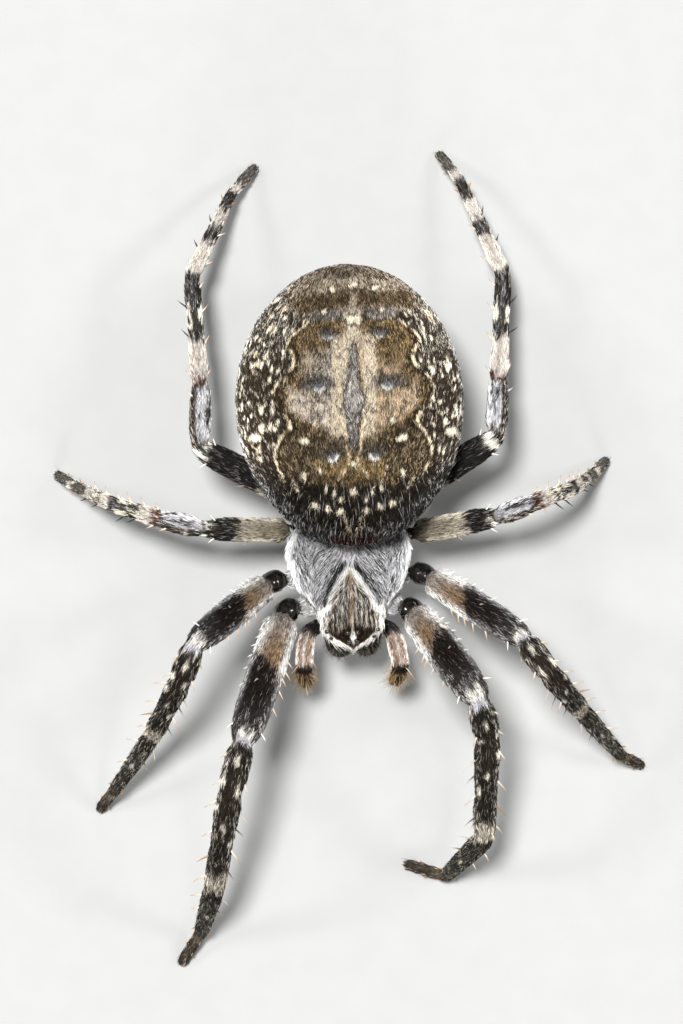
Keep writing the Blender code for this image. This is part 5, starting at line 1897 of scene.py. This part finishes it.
def build_eyes(material):
    """Eight glossy eyes."""
    for (place, (out, y, z, diameter)), (side, sign) in itertools.product(EYES.items(), SIDES.items()):
        centre = shield_place((sign * out, y, z))[0] * MM
        bpy.ops.object.select_all(action="DESELECT")
        bpy.ops.mesh.primitive_uv_sphere_add(
            segments=40, ring_count=24, radius=0.5 * diameter * MM, location=centre
        )
        eye = bpy.context.object
        bpy.ops.object.transform_apply(location=True, rotation=True, scale=True)
        bpy.ops.object.shade_smooth()
        eye.name = f"lens_{place}_{side}"
        eye.data.materials.append(material)
        finish_piece(eye, "eye_black", f"eye_{place}_{side}")


# --- the stage

PAPER = ((0.375, 0.375, 0.37), (0.385, 0.385, 0.38))
SUN_POWER, SUN_ANGLE = 4.4, math.radians(11.0)
KEY_PLACE = (-0.05, 0.07, 0.38)
# (name, place, size, power)
LAMPS = (
    ("key", KEY_PLACE, 0.07, 0.45),
    ("right_side", (-0.2, 0.04, 0.2), 0.06, 0.2),
    ("left_side", (0.2, 0.02, 0.2), 0.06, 0.2),
    ("front", (0.03, -0.26, 0.16), 0.08, 0.2),
    ("back", (0.06, 0.28, 0.14), 0.2, 0.12),
)
SKY_COLOUR = (0.97, 0.985, 1.0, 1.0)
SKY_HEIGHTS, SKY_STRENGTHS = (0.05, 0.3), (0.86, 0.13)
LENS, CAMERA_PLACE = 200.0, (-0.00032, 0.00171, 0.1963)


def build_floor():
    """A wide pale floor."""
    bpy.ops.object.select_all(action="DESELECT")
    bpy.ops.mesh.primitive_plane_add(size=12.0, location=(0.0, 0.0, 0.0))
    floor = bpy.context.object
    floor.name = "floor"
    floor.data.materials.append(plain("floor_paper", *PAPER, 900.0, 0.8, (2500.0, 0.00001, 0.1)))


def build_lamps():
    """The sun and the lamps, all turned to the middle of the floor."""
    sun = bpy.data.lights.new("sun", "SUN")
    sun.energy = SUN_POWER
    sun.angle = SUN_ANGLE
    lamps = [(sun, KEY_PLACE)]
    for name, place, size, power in LAMPS:
        light = bpy.data.lights.new(name, "AREA")
        light.shape = "DISK"
        light.size = size
        light.energy = power
        lamps.append((light, place))
    for light, place in lamps:
        lamp = bpy.data.objects.new(light.name, light)
        lamp.location = place
        aim = -lamp.location.normalized()
        lamp.rotation_euler = aim.to_track_quat("-Z", "Y").to_euler()
        bpy.context.scene.collection.objects.link(lamp)


def build_sky():
    """A sky that is palest at its edge."""
    world = bpy.data.worlds.new("studio")
    world.use_nodes = True
    tree = world.node_tree
    heading = node(tree, "ShaderNodeTexCoord")
    parts = node(tree, "ShaderNodeSeparateXYZ")
    tree.links.new(heading.outputs["Generated"], parts.inputs["Vector"])
    background = tree.nodes["Background"]
    background.inputs["Color"].default_value = SKY_COLOUR
    strength = ranged(tree, parts.outputs["Z"], *SKY_HEIGHTS, *SKY_STRENGTHS)
    tree.links.new(strength, background.inputs["Strength"])
    bpy.context.scene.world = world


def build_camera():
    """The camera straight above, its upper edge towards the abdomen."""
    lens = bpy.data.cameras.new("camera")
    lens.lens = LENS
    lens.sensor_width = 36.0
    lens.clip_start = 0.001
    lens.clip_end = 20.0
    camera = bpy.data.objects.new("camera", lens)
    camera.location = CAMERA_PLACE
    bpy.context.scene.collection.objects.link(camera)
    bpy.context.scene.camera = camera
    bpy.context.scene.view_settings.view_transform = "Standard"


def main():
    """Builds everything."""
    skin = Skin()
    build_skin(skin, marked("hide", ROUGH_SKIN, 0.7, 1.3, 9000.0, (14000.0, 0.00002, 0.6), gloss=True))
    hair = marked("coat", 0.5, 0.85, 1.15, 16000.0, shine=0.04)
    build_coats(skin, hair)
    build_long_hairs(skin, hair)
    build_spines(marked("spine", 0.35, 0.85, 1.15, 12000.0, shine=0.4))
    build_claws(marked("claw", 0.3, 0.8, 1.2, 9000.0, shine=0.5))
    build_fangs(marked("fang", 0.2, 0.75, 1.25, 4000.0, shine=0.6))
    build_eyes(plain("eye", (0.006, 0.004, 0.004), (0.022, 0.012, 0.008), 9000.0, 0.08, None, 1.0))
    build_floor()
    build_lamps()
    build_sky()
    build_camera()


main()
